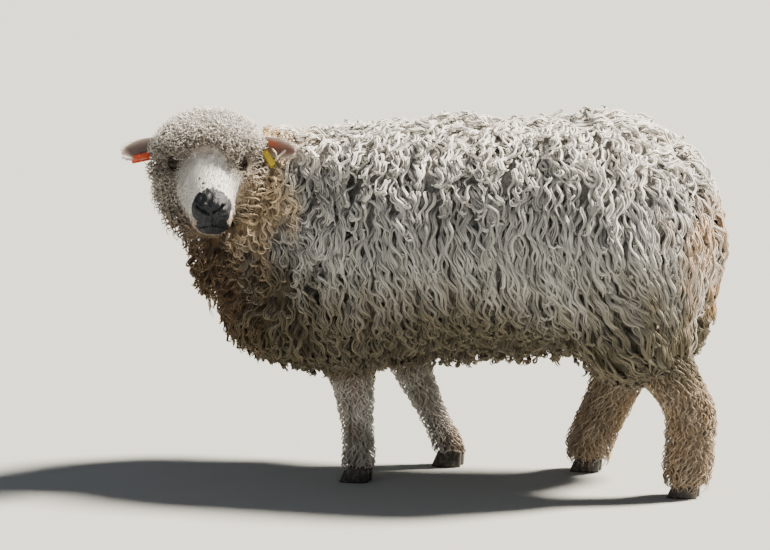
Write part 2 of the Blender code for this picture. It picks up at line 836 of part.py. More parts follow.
def ear_mesh(side, name):
    """An ear as a loft of crescents: solid at its root, then a cup that opens to the front."""
    rings = []
    for i in range(EAR_RINGS):
        share = i / (EAR_RINGS - 1)
        centre, _, face, rise, wall = ear_place(side, share)
        width = ear_width(share)
        cup = min(max((share - 0.12) / 0.25, 0.0), 1.0)
        outer = []
        inner = []
        for k in range(7):
            turn = math.pi * (k / 6 - 0.5)
            high = rise * width * math.sin(turn)
            back = wall * math.cos(turn)
            thick = EAR_THICKNESS * (0.35 + 0.65 * math.cos(turn)) * (1 - 0.4 * share)
            solid = width * EAR_CURL * math.cos(turn) + EAR_THICKNESS / 2
            front = solid + (thick - back - solid) * cup
            outer.append(centre + high - face * back)
            inner.append(centre + high * 0.94 + face * front)
        rings.append(outer + inner[::-1])
    return loft(name, rings)


def tag_mesh(side, name):
    """An ear tag: a front plate, a back plate and the pin between them, as one closed piece."""
    centre, out, face, rise, wall = ear_place(side, TAG_SHARE)
    middle = centre - face * wall
    plates = []
    for offset in (TAG_REACH, -TAG_REACH):
        plates.append(
            block(middle + face * offset, out, face, rise, TAG_LENGTH, TAG_THICKNESS, TAG_HEIGHT)
        )
    pin = block(middle, out, face, rise, TAG_PIN, TAG_REACH * 2, TAG_PIN)
    item = add_object(name, pin, bpy.context.scene.collection)
    fuse(item, plates, "plates")
    mesh = item.data
    bpy.data.objects.remove(item, do_unlink=True)
    return mesh


def grown(mesh, distance):
    """A copy of a mesh with its surface moved outwards."""
    made = mesh.copy()
    for vert, old in zip(made.vertices, mesh.vertices):
        vert.co = old.co + old.normal * distance
    return made


def block(centre, along, through, up, length, thickness, height):
    """A box on three directions."""
    shape = bmesh.new()
    frame = Matrix((along * length, through * thickness, up * height)).transposed().to_4x4()
    frame.translation = centre
    bmesh.ops.create_cube(shape, size=1.0, matrix=frame)
    bmesh.ops.triangulate(shape, faces=shape.faces)
    return mesh_from("block", shape)


def claw_mesh(name, foot, offset):
    """One claw of a hoof: a flat sole, a sloping toe and a flat top under the pastern."""
    x, y = foot
    rings = []
    for share in (0.0, 0.5, 1.0):
        toe = x - CLAW_LENGTH * (0.62 - 0.24 * share)
        heel = x + CLAW_LENGTH * (0.38 + 0.04 * share)
        half = CLAW_WIDTH / 2 * (1 - 0.12 * share)
        ring = []
        for k in range(CLAW_SIDES):
            turn = 2 * math.pi * k / CLAW_SIDES
            along = (toe + heel) / 2 + (heel - toe) / 2 * math.cos(turn)
            aside = half * math.copysign(abs(math.sin(turn)) ** 0.7, math.sin(turn))
            ring.append(Vector((along, y + offset + aside, share * CLAW_HEIGHT)))
        rings.append(ring)
    return loft(name, rings)


def tail_mesh():
    """The short tail, from its root to its woolly end."""
    points = [TAIL_TOP.lerp(TAIL_END, i / 7) for i in range(8)]
    radii = [
        (0.030 + 0.012 * math.sin(math.pi * i / 7), TAIL_HALF_WIDTH * (0.75 + 0.2 * (i % 2)))
        for i in range(8)
    ]
    radii[-1] = (0.012, 0.012)
    return tube("tail", points, radii, 10)


def build_fleece(parts, cutters, rooms, finishes):
    """The body with its locks, modelled whole and then parted into its nodes."""
    whole = add_object("whole", body_core(), cutters)
    pieces = []
    for number, (name, line) in enumerate(LEGS.items()):
        rows = FORE_LOCK_ROWS if name.startswith("fore") else HIND_LOCK_ROWS
        pieces.append(leg_core("leg", line))
        pieces += leg_locks(line, rows, SEED + 10 + number)
    pieces += body_locks([HEAD_PLANES, TAIL_PLANES])
    fuse(whole, pieces, "fused")

    leg_planes = {name: leg_cell_planes(name) for name in LEGS}
    floor_cut = (Vector((0, 0, PASTERN_CUT)), Vector((0, 0, 1)))
    for name, planes in leg_planes.items():
        part_off(name, whole, [*planes, floor_cut], parts, cutters)
        finishes[name] = "leg_wool"
    for name, planes in (*leg_planes.items(), ("head", HEAD_PLANES), ("tail", TAIL_PLANES)):
        room = cell(f"{name}_room", moved_in(planes, -GAP / 2), cutters)
        apply_boolean(whole, "DIFFERENCE", room)
    for room in rooms:
        apply_boolean(whole, "DIFFERENCE", room)

    behind_neck = (NECK_CUT[0], -NECK_CUT[1])
    behind_chest = (Vector((BARREL_FRONT, 0, 0)), Vector((1, 0, 0)))
    before_rump = (Vector((BARREL_BACK, 0, 0)), Vector((-1, 0, 0)))
    before_barrel = (behind_chest[0], -behind_chest[1])
    behind_barrel = (before_rump[0], -before_rump[1])
    part_off("neck", whole, [NECK_CUT], parts, cutters)
    part_off("chest", whole, [behind_neck, before_barrel], parts, cutters)
    part_off("barrel", whole, [behind_neck, behind_chest, before_rump], parts, cutters)
    part_off("rump", whole, [behind_barrel], parts, cutters)
    for name in ("neck", "chest", "barrel", "rump"):
        finishes[name] = "fleece"
    bpy.data.objects.remove(whole, do_unlink=True)


def part_off(name, whole, planes, parts, cutters):
    """A node: what lies inside a cell of the whole body."""
    item = add_object(name, whole.data.copy(), parts)
    apply_boolean(item, "INTERSECT", cell(f"{name}_cell", moved_in(planes, GAP / 2), cutters))
    keep_largest(item)
    return item


def leg_cell_planes(name):
    """The planes round one leg below the hem of the fleece."""
    end, side = name.split("_")
    sign = -1 if side == "left" else 1
    middle = (Vector((0, 0, 0)), Vector((0, sign, 0)))
    halfway = Vector(((BARREL_FRONT + BARREL_BACK) / 2, 0, 0))
    if end == "foreleg":
        hem = (Vector((0, 0, FORE_HEM)), Vector((0, 0, -1)))
        return [hem, (halfway, Vector((-1, 0, 0))), middle]
    (low_x, low_z), (high_x, high_z) = HIND_HEMS[side]
    line = Vector((high_x - low_x, 0, high_z - low_z)).normalized()
    hem = (Vector((low_x, 0, low_z)), Vector((line.z, 0, -line.x)))
    return [hem, (halfway, Vector((1, 0, 0))), middle]


def build_head(parts, cutters, rooms, finishes):
    """The head with its lids, lips, nostrils, sockets and curls."""
    head = add_object("head", head_core(), parts)
    fuse(head, [ring_of_lids(-1), ring_of_lids(1), *head_clumps()], "curls")
    cuts = [muzzle_line(mouth_points(), MOUTH_RADIUS, "mouth")]
    for side in (-1, 1):
        cuts.append(muzzle_line(nostril_points(side), NOSTRIL_RADIUS, "nostril"))
        cuts.append(ball("socket", eye_frame(side)[0], EYE_RADIUS + GAP))
    for cutter in cuts:
        apply_boolean(head, "DIFFERENCE", hide_cutter(add_object("cutter", cutter, cutters)))
    apply_boolean(head, "INTERSECT", cell("head_cell", moved_in(HEAD_PLANES, GAP / 2), cutters))
    for room in rooms:
        apply_boolean(head, "DIFFERENCE", room)
    keep_largest(head)
    finishes["head"] = "head_wool"


def build_ears(parts, cutters, finishes):
    """Ears, tags and eyes. Gives the rooms that the head and the fleece leave for them."""
    close = []
    wide = []
    for side, name in ((1, "left"), (-1, "right")):
        add_object(f"eye_{name}", ball("eye", eye_frame(side)[0], EYE_RADIUS), parts)
        ear = add_object(f"ear_{name}", ear_mesh(side, "ear"), parts)
        tag = add_object(f"ear_tag_{name}", tag_mesh(side, "tag"), parts)
        close.append(hide_cutter(add_object("room", grown(ear.data, 2 * GAP), cutters)))
        close.append(hide_cutter(add_object("room", grown(tag.data, TAG_CLEAR), cutters)))
        for mesh in (ear.data, tag.data):
            wide.append(hide_cutter(add_object("room", grown(mesh, EAR_CLEAR), cutters)))
        hole = hide_cutter(add_object("hole", grown(tag.data, 2 * GAP), cutters))
        apply_boolean(ear, "DIFFERENCE", hole)
        keep_largest(ear)
        finishes[f"eye_{name}"] = "eye"
        finishes[f"ear_{name}"] = "ear_skin"
        finishes[f"ear_tag_{name}"] = "tag_yellow" if side > 0 else "tag_orange"
    return close, wide


def build_tail(parts, cutters, finishes):
    """The tail in its slot of the rump."""
    tail = add_object("tail", tail_mesh(), parts)
    apply_boolean(tail, "INTERSECT", cell("tail_cell", moved_in(TAIL_PLANES, GAP / 2), cutters))
    keep_largest(tail)
    finishes["tail"] = "fleece"


def build_claws(parts, finishes):
    """Two claws under each leg."""
    for name, line in LEGS.items():
        foot = line[-1][0][:2]
        for place, offset in (("inner", -1), ("outer", 1)):
            towards = math.copysign(CLAW_SPREAD, foot[1]) * offset
            claw = f"claw_{name}_{place}"
            add_object(claw, claw_mesh(claw, foot, towards), parts)
            finishes[claw] = "hoof"


def main():
    """Builds every node, and moves the sheep's middle to the origin."""
    clear_scene()
    parts = new_collection(NAME)
    cutters = new_collection("cutters")
    finishes = {}
    close_rooms, wide_rooms = build_ears(parts, cutters, finishes)
    build_fleece(parts, cutters, wide_rooms, finishes)
    build_head(parts, cutters, close_rooms, finishes)
    build_tail(parts, cutters, finishes)
    build_claws(parts, finishes)
    shift = Matrix.Translation((-MIDDLE[0], -MIDDLE[1], 0.0))
    for item in parts.objects:
        item.data.transform(shift)
        item.data.materials.clear()
        item.data.materials.append(material(finishes[item.name]))


main()
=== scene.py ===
"""The looks of a greyface dartmoor sheep: skin, fleece, eyes, ears, tags, hooves and stage.

All sizes are in metres. The sheep's form is drawn about the middle of its step, facing -X with
its left side at -Y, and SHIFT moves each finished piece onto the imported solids.
"""

import math

import bmesh
import bpy
import numpy as np
from mathutils import Matrix, Vector


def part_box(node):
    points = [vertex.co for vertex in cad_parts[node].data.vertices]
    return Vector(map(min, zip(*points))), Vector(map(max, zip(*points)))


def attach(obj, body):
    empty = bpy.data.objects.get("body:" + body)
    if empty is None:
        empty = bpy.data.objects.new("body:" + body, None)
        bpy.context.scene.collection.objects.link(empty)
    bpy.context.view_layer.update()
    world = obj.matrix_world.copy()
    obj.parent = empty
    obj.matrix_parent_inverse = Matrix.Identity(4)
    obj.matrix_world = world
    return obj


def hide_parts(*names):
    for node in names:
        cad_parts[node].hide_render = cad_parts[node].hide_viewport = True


bl_info = {
    "name": "Greyface Dartmoor Sheep",
    "version": (1, 0, 0),
    "blender": (4, 5, 0),
    "location": "3D View > Sidebar > Sheep",
    "description": "Skin, longwool fleece, face, ears, hooves and studio of a life-size sheep",
    "category": "Add Mesh",
}

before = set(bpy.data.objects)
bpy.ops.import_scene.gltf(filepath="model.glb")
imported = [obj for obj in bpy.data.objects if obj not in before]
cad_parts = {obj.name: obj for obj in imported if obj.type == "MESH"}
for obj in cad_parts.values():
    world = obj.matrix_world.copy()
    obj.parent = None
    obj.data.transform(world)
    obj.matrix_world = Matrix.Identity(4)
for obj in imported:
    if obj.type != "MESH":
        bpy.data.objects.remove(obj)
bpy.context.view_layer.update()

SEED = 23
BODY = "root"
NOWHERE = 1e9
UP = Vector((0, 0, 1))

# The surface on which the tips of the wool lie: tapered capsules of start, end and two radii.
BODY_FLATNESS = 0.93
TRUNK = ((-0.297, 0.0, 0.405), (0.240, 0.0, 0.462), 0.215, 0.228)
THIGH = ((0.298, 0.098, 0.425), (0.325, 0.108, 0.305), 0.148, 0.112)
UPPER_ARM = ((-0.240, 0.085, 0.400), (-0.215, 0.095, 0.285), 0.150, 0.090)
NECK = ((-0.335, -0.020, 0.445), (-0.462, -0.078, 0.560), 0.185, 0.112)
WITHERS = ((-0.285, -0.005, 0.475), (-0.040, 0.0, 0.495), 0.155, 0.168)
TAIL = ((0.398, 0.0, 0.575), (0.425, 0.0, 0.360), 0.042, 0.030)
BODY_BLEND = 0.060
TAIL_BLEND = 0.018
HEAD_ROOTS_SINK = 0.022
HEAD_TIPS_SINK = 0.012
HEAD_SKIN_SINK = 0.050
HEAD_RIM = 0.013
SIDE_DEPTH = 0.070
BACK_DEPTH = 0.055
BELLY_DEPTH = 0.050
SKIN_SHARE = 0.64
HANG_FROM = -0.35
TRUNK_HEIGHT = 0.43
BODY_VOXEL = 0.020
SKIN_VOXEL = 0.0085

# Legs: centre line from the body down to the pastern, and half width with half of its wool.
LEGS = {
    "foreleg_left": [
        ((-0.212, -0.095, 0.290), 0.062),
        ((-0.203, -0.099, 0.205), 0.045),
        ((-0.195, -0.100, 0.150), 0.034),
        ((-0.190, -0.100, 0.095), 0.0285),
        ((-0.188, -0.100, 0.055), 0.0300),
        ((-0.188, -0.100, 0.022), 0.0290),
    ],
    "foreleg_right": [
        ((-0.180, 0.095, 0.290), 0.062),
        ((-0.148, 0.099, 0.205), 0.045),
        ((-0.122, 0.100, 0.150), 0.034),
        ((-0.094, 0.100, 0.095), 0.0285),
        ((-0.072, 0.100, 0.055), 0.0300),
        ((-0.060, 0.100, 0.022), 0.0290),
    ],
    "hindleg_left": [
        ((0.325, -0.110, 0.330), 0.085),
        ((0.383, -0.114, 0.240), 0.062),
        ((0.432, -0.115, 0.165), 0.049),
        ((0.435, -0.113, 0.105), 0.045),
        ((0.431, -0.110, 0.060), 0.046),
        ((0.429, -0.110, 0.022), 0.039),
    ],
    "hindleg_right": [
        ((0.266, 0.110, 0.330), 0.085),
        ((0.266, 0.114, 0.240), 0.062),
        ((0.252, 0.115, 0.165), 0.051),
        ((0.226, 0.113, 0.105), 0.048),
        ((0.207, 0.110, 0.060), 0.046),
        ((0.203, 0.110, 0.022), 0.038),
    ],
}
LEG_FLATNESS = 0.88
LEG_SKIN_SINK = 0.009
CLAW_LENGTH = 0.056
CLAW_WIDTH = 0.0245
CLAW_HEIGHT = 0.0300
CLAW_SPREAD = 0.0137

# Head: the point midway between the eyes, and the lines down the face, out of the brow, to the
# sheep's left and straight ahead.
HEAD_TURN = math.radians(14.0)
FACE_SLOPE = math.radians(36.0)
EYE_MID = Vector((-0.458, -0.160, 0.596))
TO_LEFT = Vector((math.cos(HEAD_TURN), math.sin(HEAD_TURN), 0.0))
AHEAD = Vector((math.sin(HEAD_TURN), -math.cos(HEAD_TURN), 0.0))
DOWN_FACE = AHEAD * math.cos(FACE_SLOPE) - UP * math.sin(FACE_SLOPE)
OUT_OF_BROW = AHEAD * math.sin(FACE_SLOPE) + UP * math.cos(FACE_SLOPE)
# How much a metre down the face and one out of the brow raise a place, as the camera sees it.
SEEN_RISE = (-0.695, 0.719)
HEAD_BACK = -0.135
HEAD_LENGTH = 0.274
HEAD_RINGS = 128
HEAD_SIDES = 168

# Head sections: distance down the face, half width, and the levels of the top, of the widest
# line and of the underside.
HEAD_SECTIONS = [
    (HEAD_BACK, 0.036, -0.020, -0.052, -0.085),
    (-0.085, 0.064, 0.026, -0.030, -0.105),
    (-0.040, 0.071, 0.036, -0.020, -0.112),
    (0.000, 0.069, 0.032, -0.018, -0.108),
    (0.030, 0.057, 0.027, -0.024, -0.100),
    (0.060, 0.047, 0.022, -0.029, -0.092),
    (0.090, 0.041, 0.018, -0.029, -0.088),
    (0.112, 0.0385, 0.013, -0.029, -0.083),
    (0.126, 0.033, 0.005, -0.030, -0.070),
    (0.134, 0.022, -0.007, -0.030, -0.052),
    (0.139, 0.009, -0.021, -0.030, -0.039),
]
# The outside of the head's wool: centre and radii, each down the face, out of the brow, left.
HEAD_WOOL = (
    ((-0.030, -0.030, 0.0), (0.100, 0.095, 0.113)),
    ((-0.010, -0.085, 0.0), (0.085, 0.075, 0.104)),
    ((0.032, -0.055, 0.003), (0.080, 0.060, 0.072)),
    ((0.004, -0.062, 0.052), (0.075, 0.060, 0.058)),
    ((0.050, -0.078, -0.032), (0.060, 0.050, 0.056)),
)
# The hollow between cheek and shoulder, where the head is turned: its two ends, each ahead of the
# eyes, above and left, and its radii.
HOLLOW = ((0.096, -0.030, 0.125), (0.150, -0.230, 0.110))
HOLLOW_RADII = (0.105, 0.105)
HOLLOW_BLEND = 0.085
EYE_RADIUS = 0.0145
EYE_PLACE = (0.004, -0.003, 0.0565)
EYE_LOOK = {1: (0.66, 0.30, 1.0), -1: (1.05, 0.45, 0.90)}
LID_HALF_LENGTH = 0.0126
LID_HALF_HEIGHT = 0.0098
LID_RADIUS = 0.0021
SKIN_OVER_EYE = 0.0004
MUZZLE_SWAY = 0.0085
# Nostrils, each from its outer end in towards the middle, as distances to the left of the
# eyes' middle and above it.
NOSTRILS = {
    -1: [(-0.0165, -0.0840), (-0.0125, -0.0885), (-0.0050, -0.0935), (0.0048, -0.0985)],
    1: [(0.0300, -0.0840), (0.0270, -0.0885), (0.0215, -0.0930), (0.0140, -0.0965)],
}

# Ears and their tags.
EAR_ROOT = (-0.045, 0.003, 0.062)
EAR_LENGTH = 0.099
EAR_HALF_WIDTH = 0.0195
EAR_THICKNESS = 0.0045
EAR_CURL = 0.60
EAR_BOW = 0.012
EAR_FORWARD = 0.10
EAR_DROOP = {1: 0.16, -1: 0.20}
TAG_HANG = {
    1: (0.46, math.radians(-46), math.radians(50), 0.011),
    -1: (0.68, math.radians(-50), 0.0, 0.0),
}
TAG_LENGTH = 0.034
TAG_HEIGHT = 0.011
TAG_THICKNESS = 0.0016
TAG_REACH = 0.0062
TAG_LOW = 0.0030

# Strands: their patch on the bake map, how thick a flat one is, and their rings. Those of the
# body's fleece are shares of its length, closer where it shows.
BAKE_PATCH = 0.003
FLAT_STRAND = 0.0019
SHARES = np.concatenate([[0.0, 0.16], np.linspace(0.28, 1.0, 12)])
RINGS = len(SHARES)
HEAD_STRAND_RINGS = 12
LEG_STRAND_RINGS = 8
SHORT_HAIR_RINGS = 4
FIBRE_LENGTH_MM = 40.0

# How many points are tried as roots, and how far apart those that are kept lie. The fleece has its
# spacing in lock spacings, each for a range of how closely it grows.
ROOTS_TRIED = {"body": 40000, "head": 90000, "face": 60000, "leg": 30000}
FLEECE_SPACINGS = ((1.10, -1.0, 0.3), (0.94, 0.3, 0.8), (0.87, 0.8, 1.15), (0.70, 1.15, 9.0))
RIGHT_SIDE_WIDER = 1.11
CURL_SPACING = 0.0052
LOOSE_CURL_SPACING = 0.0074
FACE_HAIR_SPACING = 0.0028
EAR_HAIRS = 520
# The tufts of the legs: name, spacing and length.
LEG_TUFTS = (("foreleg", 0.0048, 0.024), ("hindleg", 0.0058, 0.034))
# The fleece's lowest roots, and where it is cut into pieces, from the chest to the rump.
FLEECE_BOTTOM = 0.20
FLEECE_CUTS = (-1.0, -0.41, -0.32, -0.17, -0.03, 0.12, 0.26, 1.0)

# Lamps and floor.
SUN_TURN = math.radians(122.0)
SUN_RISE = math.radians(48.0)
SUN_SOFTNESS = math.radians(12.0)
SUN_STRENGTH = 25.0
FILL_TURN = math.radians(-25.0)
FILL_RISE = math.radians(24.0)
FILL_SIZE = 3.0
FILL_WATTS = 9.0
LAMP_DISTANCE = 4.5
WORLD_STRENGTH = 0.26
FLOOR_HALF = 40.0

# Camera: where it stands round the sheep, and the picture that it takes.
VIEW_TURN = math.radians(14.0)
VIEW_RISE = math.radians(8.0)
VIEW_DISTANCE = 9.0
PICTURE_WIDTH = 770
PICTURE_HEIGHT = 550
METRES_A_PIXEL = 0.00186
SENSOR_WIDTH = 36.0
PIXEL_OF_MIDDLE = (470, 476)


def linear(code, alpha=None):
    """A colour written as an sRGB hex value, made linear."""
    parts = [int(code[i : i + 2], 16) / 255 for i in (1, 3, 5)]
    flat = [c / 12.92 if c <= 0.04045 else ((c + 0.055) / 1.055) ** 2.4 for c in parts]
    return (*flat, alpha) if alpha is not None else tuple(flat)


# Markings of skin and coat, and the colours that paint sunlight and shade on them.
FLEECE = np.array(linear("#cac8c4"))
# Pale, bleached tips of the staple; also painted on as sunlight along the back and the crown.
BLEACHED_TIP_AND_PAINTED_SUN = np.array(linear("#fbf7ef"))
BELLY_WOOL = np.array(linear("#6a6047"))
THROAT_WOOL = np.array(linear("#6a4f2d"))
RUMP_STAIN = np.array(linear("#b58b55"))
HEAD_WOOL_COLOUR = np.array(linear("#a99e92"))
# Painted sunlight: the cheek's warm tan wool, brightened, laid on the sheep's left side only.
PAINTED_SUN_ON_CHEEK = np.array(linear("#f3d7ad"))
LEG_WOOL = np.array(linear("#b09c84"))
SHANK_WOOL = np.array(linear("#e6e1da"))
SHADED_LEG = np.array(linear("#735f47"))
FACE_HAIR = np.array(linear("#dddbd7"))
NOSE_SKIN = np.array(linear("#191c23"))
LID_SKIN = np.array(linear("#1b1714"))
EAR_SKIN = np.array(linear("#d6c9c0"))
# The ears' insides: the left one sunlit, the right one a duller copy in painted shade.
EAR_INSIDE = {1: np.array(linear("#7d5d54")), -1: np.array(linear("#6a5b59"))}
# Painted sunlight shining through the left ear.
EAR_GLOW = np.array(linear("#c4603a"))

# Dark spots of the face, as distances to the left of the middle and above the eyes, with radii.
FACE_SPOTS = [
    (-0.0116, -0.0345, 0.0030),
    (-0.0053, -0.0435, 0.0036),
    (-0.0071, -0.0508, 0.0024),
    (0.0120, -0.0526, 0.0026),
    (0.0229, -0.0490, 0.0026),
    (0.0120, -0.0290, 0.0014),
    (-0.0508, -0.0345, 0.0022),
    (0.0384, 0.0065, 0.0030),
    (0.0539, -0.0035, 0.0036),
    (0.0521, -0.0108, 0.0026),
    (0.0630, -0.0381, 0.0028),
]


def length_setting(name, description, default):
    """A setting that is a length."""
    return bpy.props.FloatProperty(name=name, description=description, default=default, unit="LENGTH")


class SheepSettings(bpy.types.PropertyGroup):
    """Sizes and colours that a user would change."""

    lock_spacing: length_setting("Lock spacing", "Distance between the locks of the fleece", 0.0208)
    strands_a_lock: bpy.props.IntProperty(
        name="Strands a lock",
        description="Wavy strands that make up one lock, in threes",
        default=6,
        min=3,
        step=3,
    )
    strand_width: length_setting("Strand width", "Width of one strand of the fleece", 0.0050)
    side_length: length_setting("Side staple", "Length of the wool on the sides", 0.125)
    back_length: length_setting("Back staple", "Length of the curlier wool on the back", 0.090)
    wave_length: length_setting("Wave", "Length of one wave of the staple", 0.056)
    wave_height: length_setting("Wave height", "How far a strand swings to each side", 0.0046)
    ring_radius: length_setting("Hook radius", "Radius of the hooks in which curly tips end", 0.0085)
    curl_radius: length_setting("Head curl radius", "Radius of the tight curls on the head", 0.0030)
    fleece_colour: bpy.props.FloatVectorProperty(
        name="Fleece",
        description="Colour of clean fleece",
        default=tuple(FLEECE),
        subtype="COLOR",
    )
    floor_colour: bpy.props.FloatVectorProperty(
        name="Floor",
        description="Colour of the studio floor",
        default=linear("#9b9e9c"),
        subtype="COLOR",
    )


def smooth(value, low, high):
    """An eased step from 0 at low to 1 at high."""
    t = np.clip((value - low) / (high - low), 0.0, 1.0)
    return t * t * (3.0 - 2.0 * t)


def mixed(first, second, share):
    """Rows of first turned towards second by a share of each row."""
    return first + (second - first) * share[..., None]


def unit(v):
    """Vectors at length 1."""
    return v / np.maximum(np.linalg.norm(v, axis=-1, keepdims=True), 1e-9)


def laid(v, normal):
    """Directions laid along the surfaces that have these normals."""
    return unit(v - normal * (v * normal).sum(axis=1)[:, None])


def ripple(p, size, seed):
    """A soft, wandering value of -1 to 1 over space, whose swells are about this size."""
    rng = np.random.default_rng(seed)
    waves = rng.normal(size=(6, 3)) * 2 * math.pi / (size * 2.2)
    starts = rng.uniform(0, 2 * math.pi, 6)
    return np.sin(p @ waves.T + starts).sum(axis=-1) / 3.0


def capsule(p, start, end, start_radius, end_radius):
    """Distance from points to a tapered capsule."""
    a = np.array(start)
    along = np.array(end) - a
    t = np.clip((p - a) @ along / (along @ along), 0.0, 1.0)
    apart = np.linalg.norm(p - a - t[..., None] * along, axis=-1)
    return apart - (start_radius + (end_radius - start_radius) * t)


def soft_union(first, second, blend):
    """The smaller of two distances, eased where they are alike."""
    share = np.clip(0.5 + 0.5 * (second - first) / blend, 0.0, 1.0)
    return second + (first - second) * share - blend * share * (1.0 - share)


# From head places (down the face, out of the brow, left) to places of the sheep.
HEAD_FRAME = np.array([DOWN_FACE, OUT_OF_BROW, TO_LEFT])


def from_head(q):
    """Places of the sheep from places of the head."""
    return np.asarray(q) @ HEAD_FRAME + np.array(EYE_MID)


def to_head(p):
    """Places of the head from places of the sheep."""
    return (np.asarray(p) - np.array(EYE_MID)) @ HEAD_FRAME.T


def head_wool_distance(p):
    """About how far places of the sheep lie outside the head's wool."""
    q = to_head(p)
    found = np.full(p.shape[:-1], NOWHERE)
    for centre, radii in HEAD_WOOL:
        a = (q - np.array(centre)) / np.array(radii)
        size = np.linalg.norm(a, axis=-1)
        slope = np.linalg.norm(a / np.array(radii), axis=-1)
        found = np.minimum(found, size * (size - 1) / np.maximum(slope, 1e-6))
    return found


HOLLOW_ENDS = [EYE_MID + AHEAD * x + UP * z + TO_LEFT * y for x, z, y in HOLLOW]


def out_of_wool(q, direction, rim):
    """How far it is along a direction to the outside of the head's wool, less a rim. Hugely
    negative where the line misses it."""
    found = np.full(q.shape[:-1], -NOWHERE)
    for centre, radii in HEAD_WOOL:
        size = np.array(radii) - rim
        a, b = (q - np.array(centre)) / size, direction / size
        bb, ab, aa = (b * b).sum(axis=-1), (a * b).sum(axis=-1), (a * a).sum(axis=-1) - 1.0
        over = ab * ab - bb * aa
        end = (np.sqrt(np.maximum(over, 0.0)) - ab) / bb
        found = np.maximum(found, np.where(over > 0, end, -NOWHERE))
    return found


def depth_in_head(p):
    """How far places of the sheep lie behind the front of the head's wool. Without end beside it."""
    ahead = np.array((math.cos(FACE_SLOPE), math.sin(FACE_SLOPE), 0.0))
    found = out_of_wool(to_head(p), ahead, HEAD_RIM)
    return np.where(found == -NOWHERE, NOWHERE, found)


def envelope(p):
    """Distance from points to the surface on which the body's wool tips lie."""
    found = capsule(p * np.array((1.0, BODY_FLATNESS, 1.0)), *TRUNK)
    for side in (-1, 1):
        turned = p * np.array((1.0, side, 1.0))
        found = soft_union(found, capsule(turned, *THIGH), BODY_BLEND)
        found = soft_union(found, capsule(turned, *UPPER_ARM), BODY_BLEND)
    found = soft_union(found, capsule(p, *NECK), BODY_BLEND)
    found = soft_union(found, capsule(p, *WITHERS), BODY_BLEND)
    found = soft_union(found, capsule(p, *TAIL), TAIL_BLEND)
    return -soft_union(-found, capsule(p, *HOLLOW_ENDS, *HOLLOW_RADII), HOLLOW_BLEND)


def outward(p):
    """Unit normals of the envelope at points."""
    step = 0.002
    columns = []
    for axis in range(3):
        offset = np.zeros(3)
        offset[axis] = step
        columns.append(envelope(p + offset) - envelope(p - offset))
    return unit(np.stack(columns, axis=-1))


def fleece_depth(normal):
    """Depth of the fleece where the envelope faces this way."""
    up = normal[:, 2]
    back = np.clip(up, 0.0, 1.0) ** 2
    belly = np.clip(-up, 0.0, 1.0) ** 2
    return SIDE_DEPTH + (BACK_DEPTH - SIDE_DEPTH) * back + (BELLY_DEPTH - SIDE_DEPTH) * belly


def settled(p, share, rounds=6):
    """Points moved to this share of the way from the skin to the tips."""
    for _ in range(rounds):
        normal = outward(p)
        level = -fleece_depth(normal) * (1.0 - share)
        p = p - normal * (envelope(p) - level)[:, None]
    return p


def through(table, at):
    """Smooth values of a table of rows (place, value, ...) at many places."""
    table = np.array(table)
    at = np.asarray(at, float)
    i = np.clip(np.searchsorted(table[:, 0], at) - 1, 0, len(table) - 2)
    rows = [table[np.clip(i + k, 0, len(table) - 1)] for k in (-1, 0, 1, 2)]
    t = ((at - rows[1][..., 0]) / (rows[2][..., 0] - rows[1][..., 0]))[..., None]
    values = 0.5 * (
        2 * rows[1]
        + (rows[2] - rows[0]) * t
        + (2 * rows[0] - 5 * rows[1] + 4 * rows[2] - rows[3]) * t**2
        + (3 * rows[1] - rows[0] - 3 * rows[2] + rows[3]) * t**3
    )
    return np.moveaxis(values[..., 1:], -1, 0)


def skull(down, angle):
    """Places of the head on the bare skull, by distance down the face and angle round it."""
    half_width, top, side, bottom = through(HEAD_SECTIONS, down)
    cos, sin = np.cos(angle), np.sin(angle)
    reach = np.where(sin > 0, top - side, side - bottom)
    left = half_width * np.sign(cos) * np.abs(cos) ** 0.88
    up = side + reach * np.sign(sin) * np.abs(sin) ** 0.88
    sway = MUZZLE_SWAY * np.clip(down / 0.13, 0.0, 1.0) ** 1.4
    return np.stack([np.broadcast_to(down, left.shape), up, left + sway], axis=-1)


def seen(q):
    """How far places of the head lie to the left, above the eyes and ahead, as one faces it."""
    height = SEEN_RISE[0] * q[..., 0] + SEEN_RISE[1] * q[..., 1]
    ahead = q[..., 0] * math.cos(FACE_SLOPE) + q[..., 1] * math.sin(FACE_SLOPE)
    return q[..., 2], height, ahead


def bare_margin(q):
    """How far places of the head lie inside the short-haired face, in metres."""
    left, height, ahead = seen(q)
    oval = np.hypot((left - 0.0040) / 0.054, (height + 0.0440) / 0.0600)
    patch = np.minimum((1.0 - oval) * 0.06, 0.031 - left - height)
    patch = np.minimum(patch, ahead + 0.002)
    muzzle = np.minimum(q[..., 0] - 0.082, ahead - 0.015)
    return np.maximum(patch, muzzle)


def nose_margin(q):
    """How far places of the head lie inside the dark nose and lips, in metres."""
    left, height, ahead = seen(q)
    leather = np.hypot((left - 0.0097) / 0.0360, (height + 0.0880) / 0.0345)
    lips = np.hypot((left - 0.0100) / 0.0300, (height + 0.1200) / 0.0160)
    wander = 0.0016 * ripple(q, 0.007, 10)
    return np.minimum((1.0 - np.minimum(leather, lips)) * 0.03 + wander, ahead - 0.045)


def white_margin(q):
    """How far places of the head, or of its wool, lie inside the white of the face, in metres."""
    left, height, ahead = seen(q)
    oval = np.hypot((left - 0.0040) / 0.066, (height + 0.0470) / 0.0640)
    return np.minimum(np.minimum((1.0 - oval) * 0.06, 0.035 - left - height), ahead - 0.005)


def near_any(p, spots, radius):
    """Whether places lie within a radius of any of these spots."""
    near = np.zeros(p.shape[:-1], bool)
    for spot in spots:
        near |= np.linalg.norm(p - np.array(spot), axis=-1) < radius
    return near


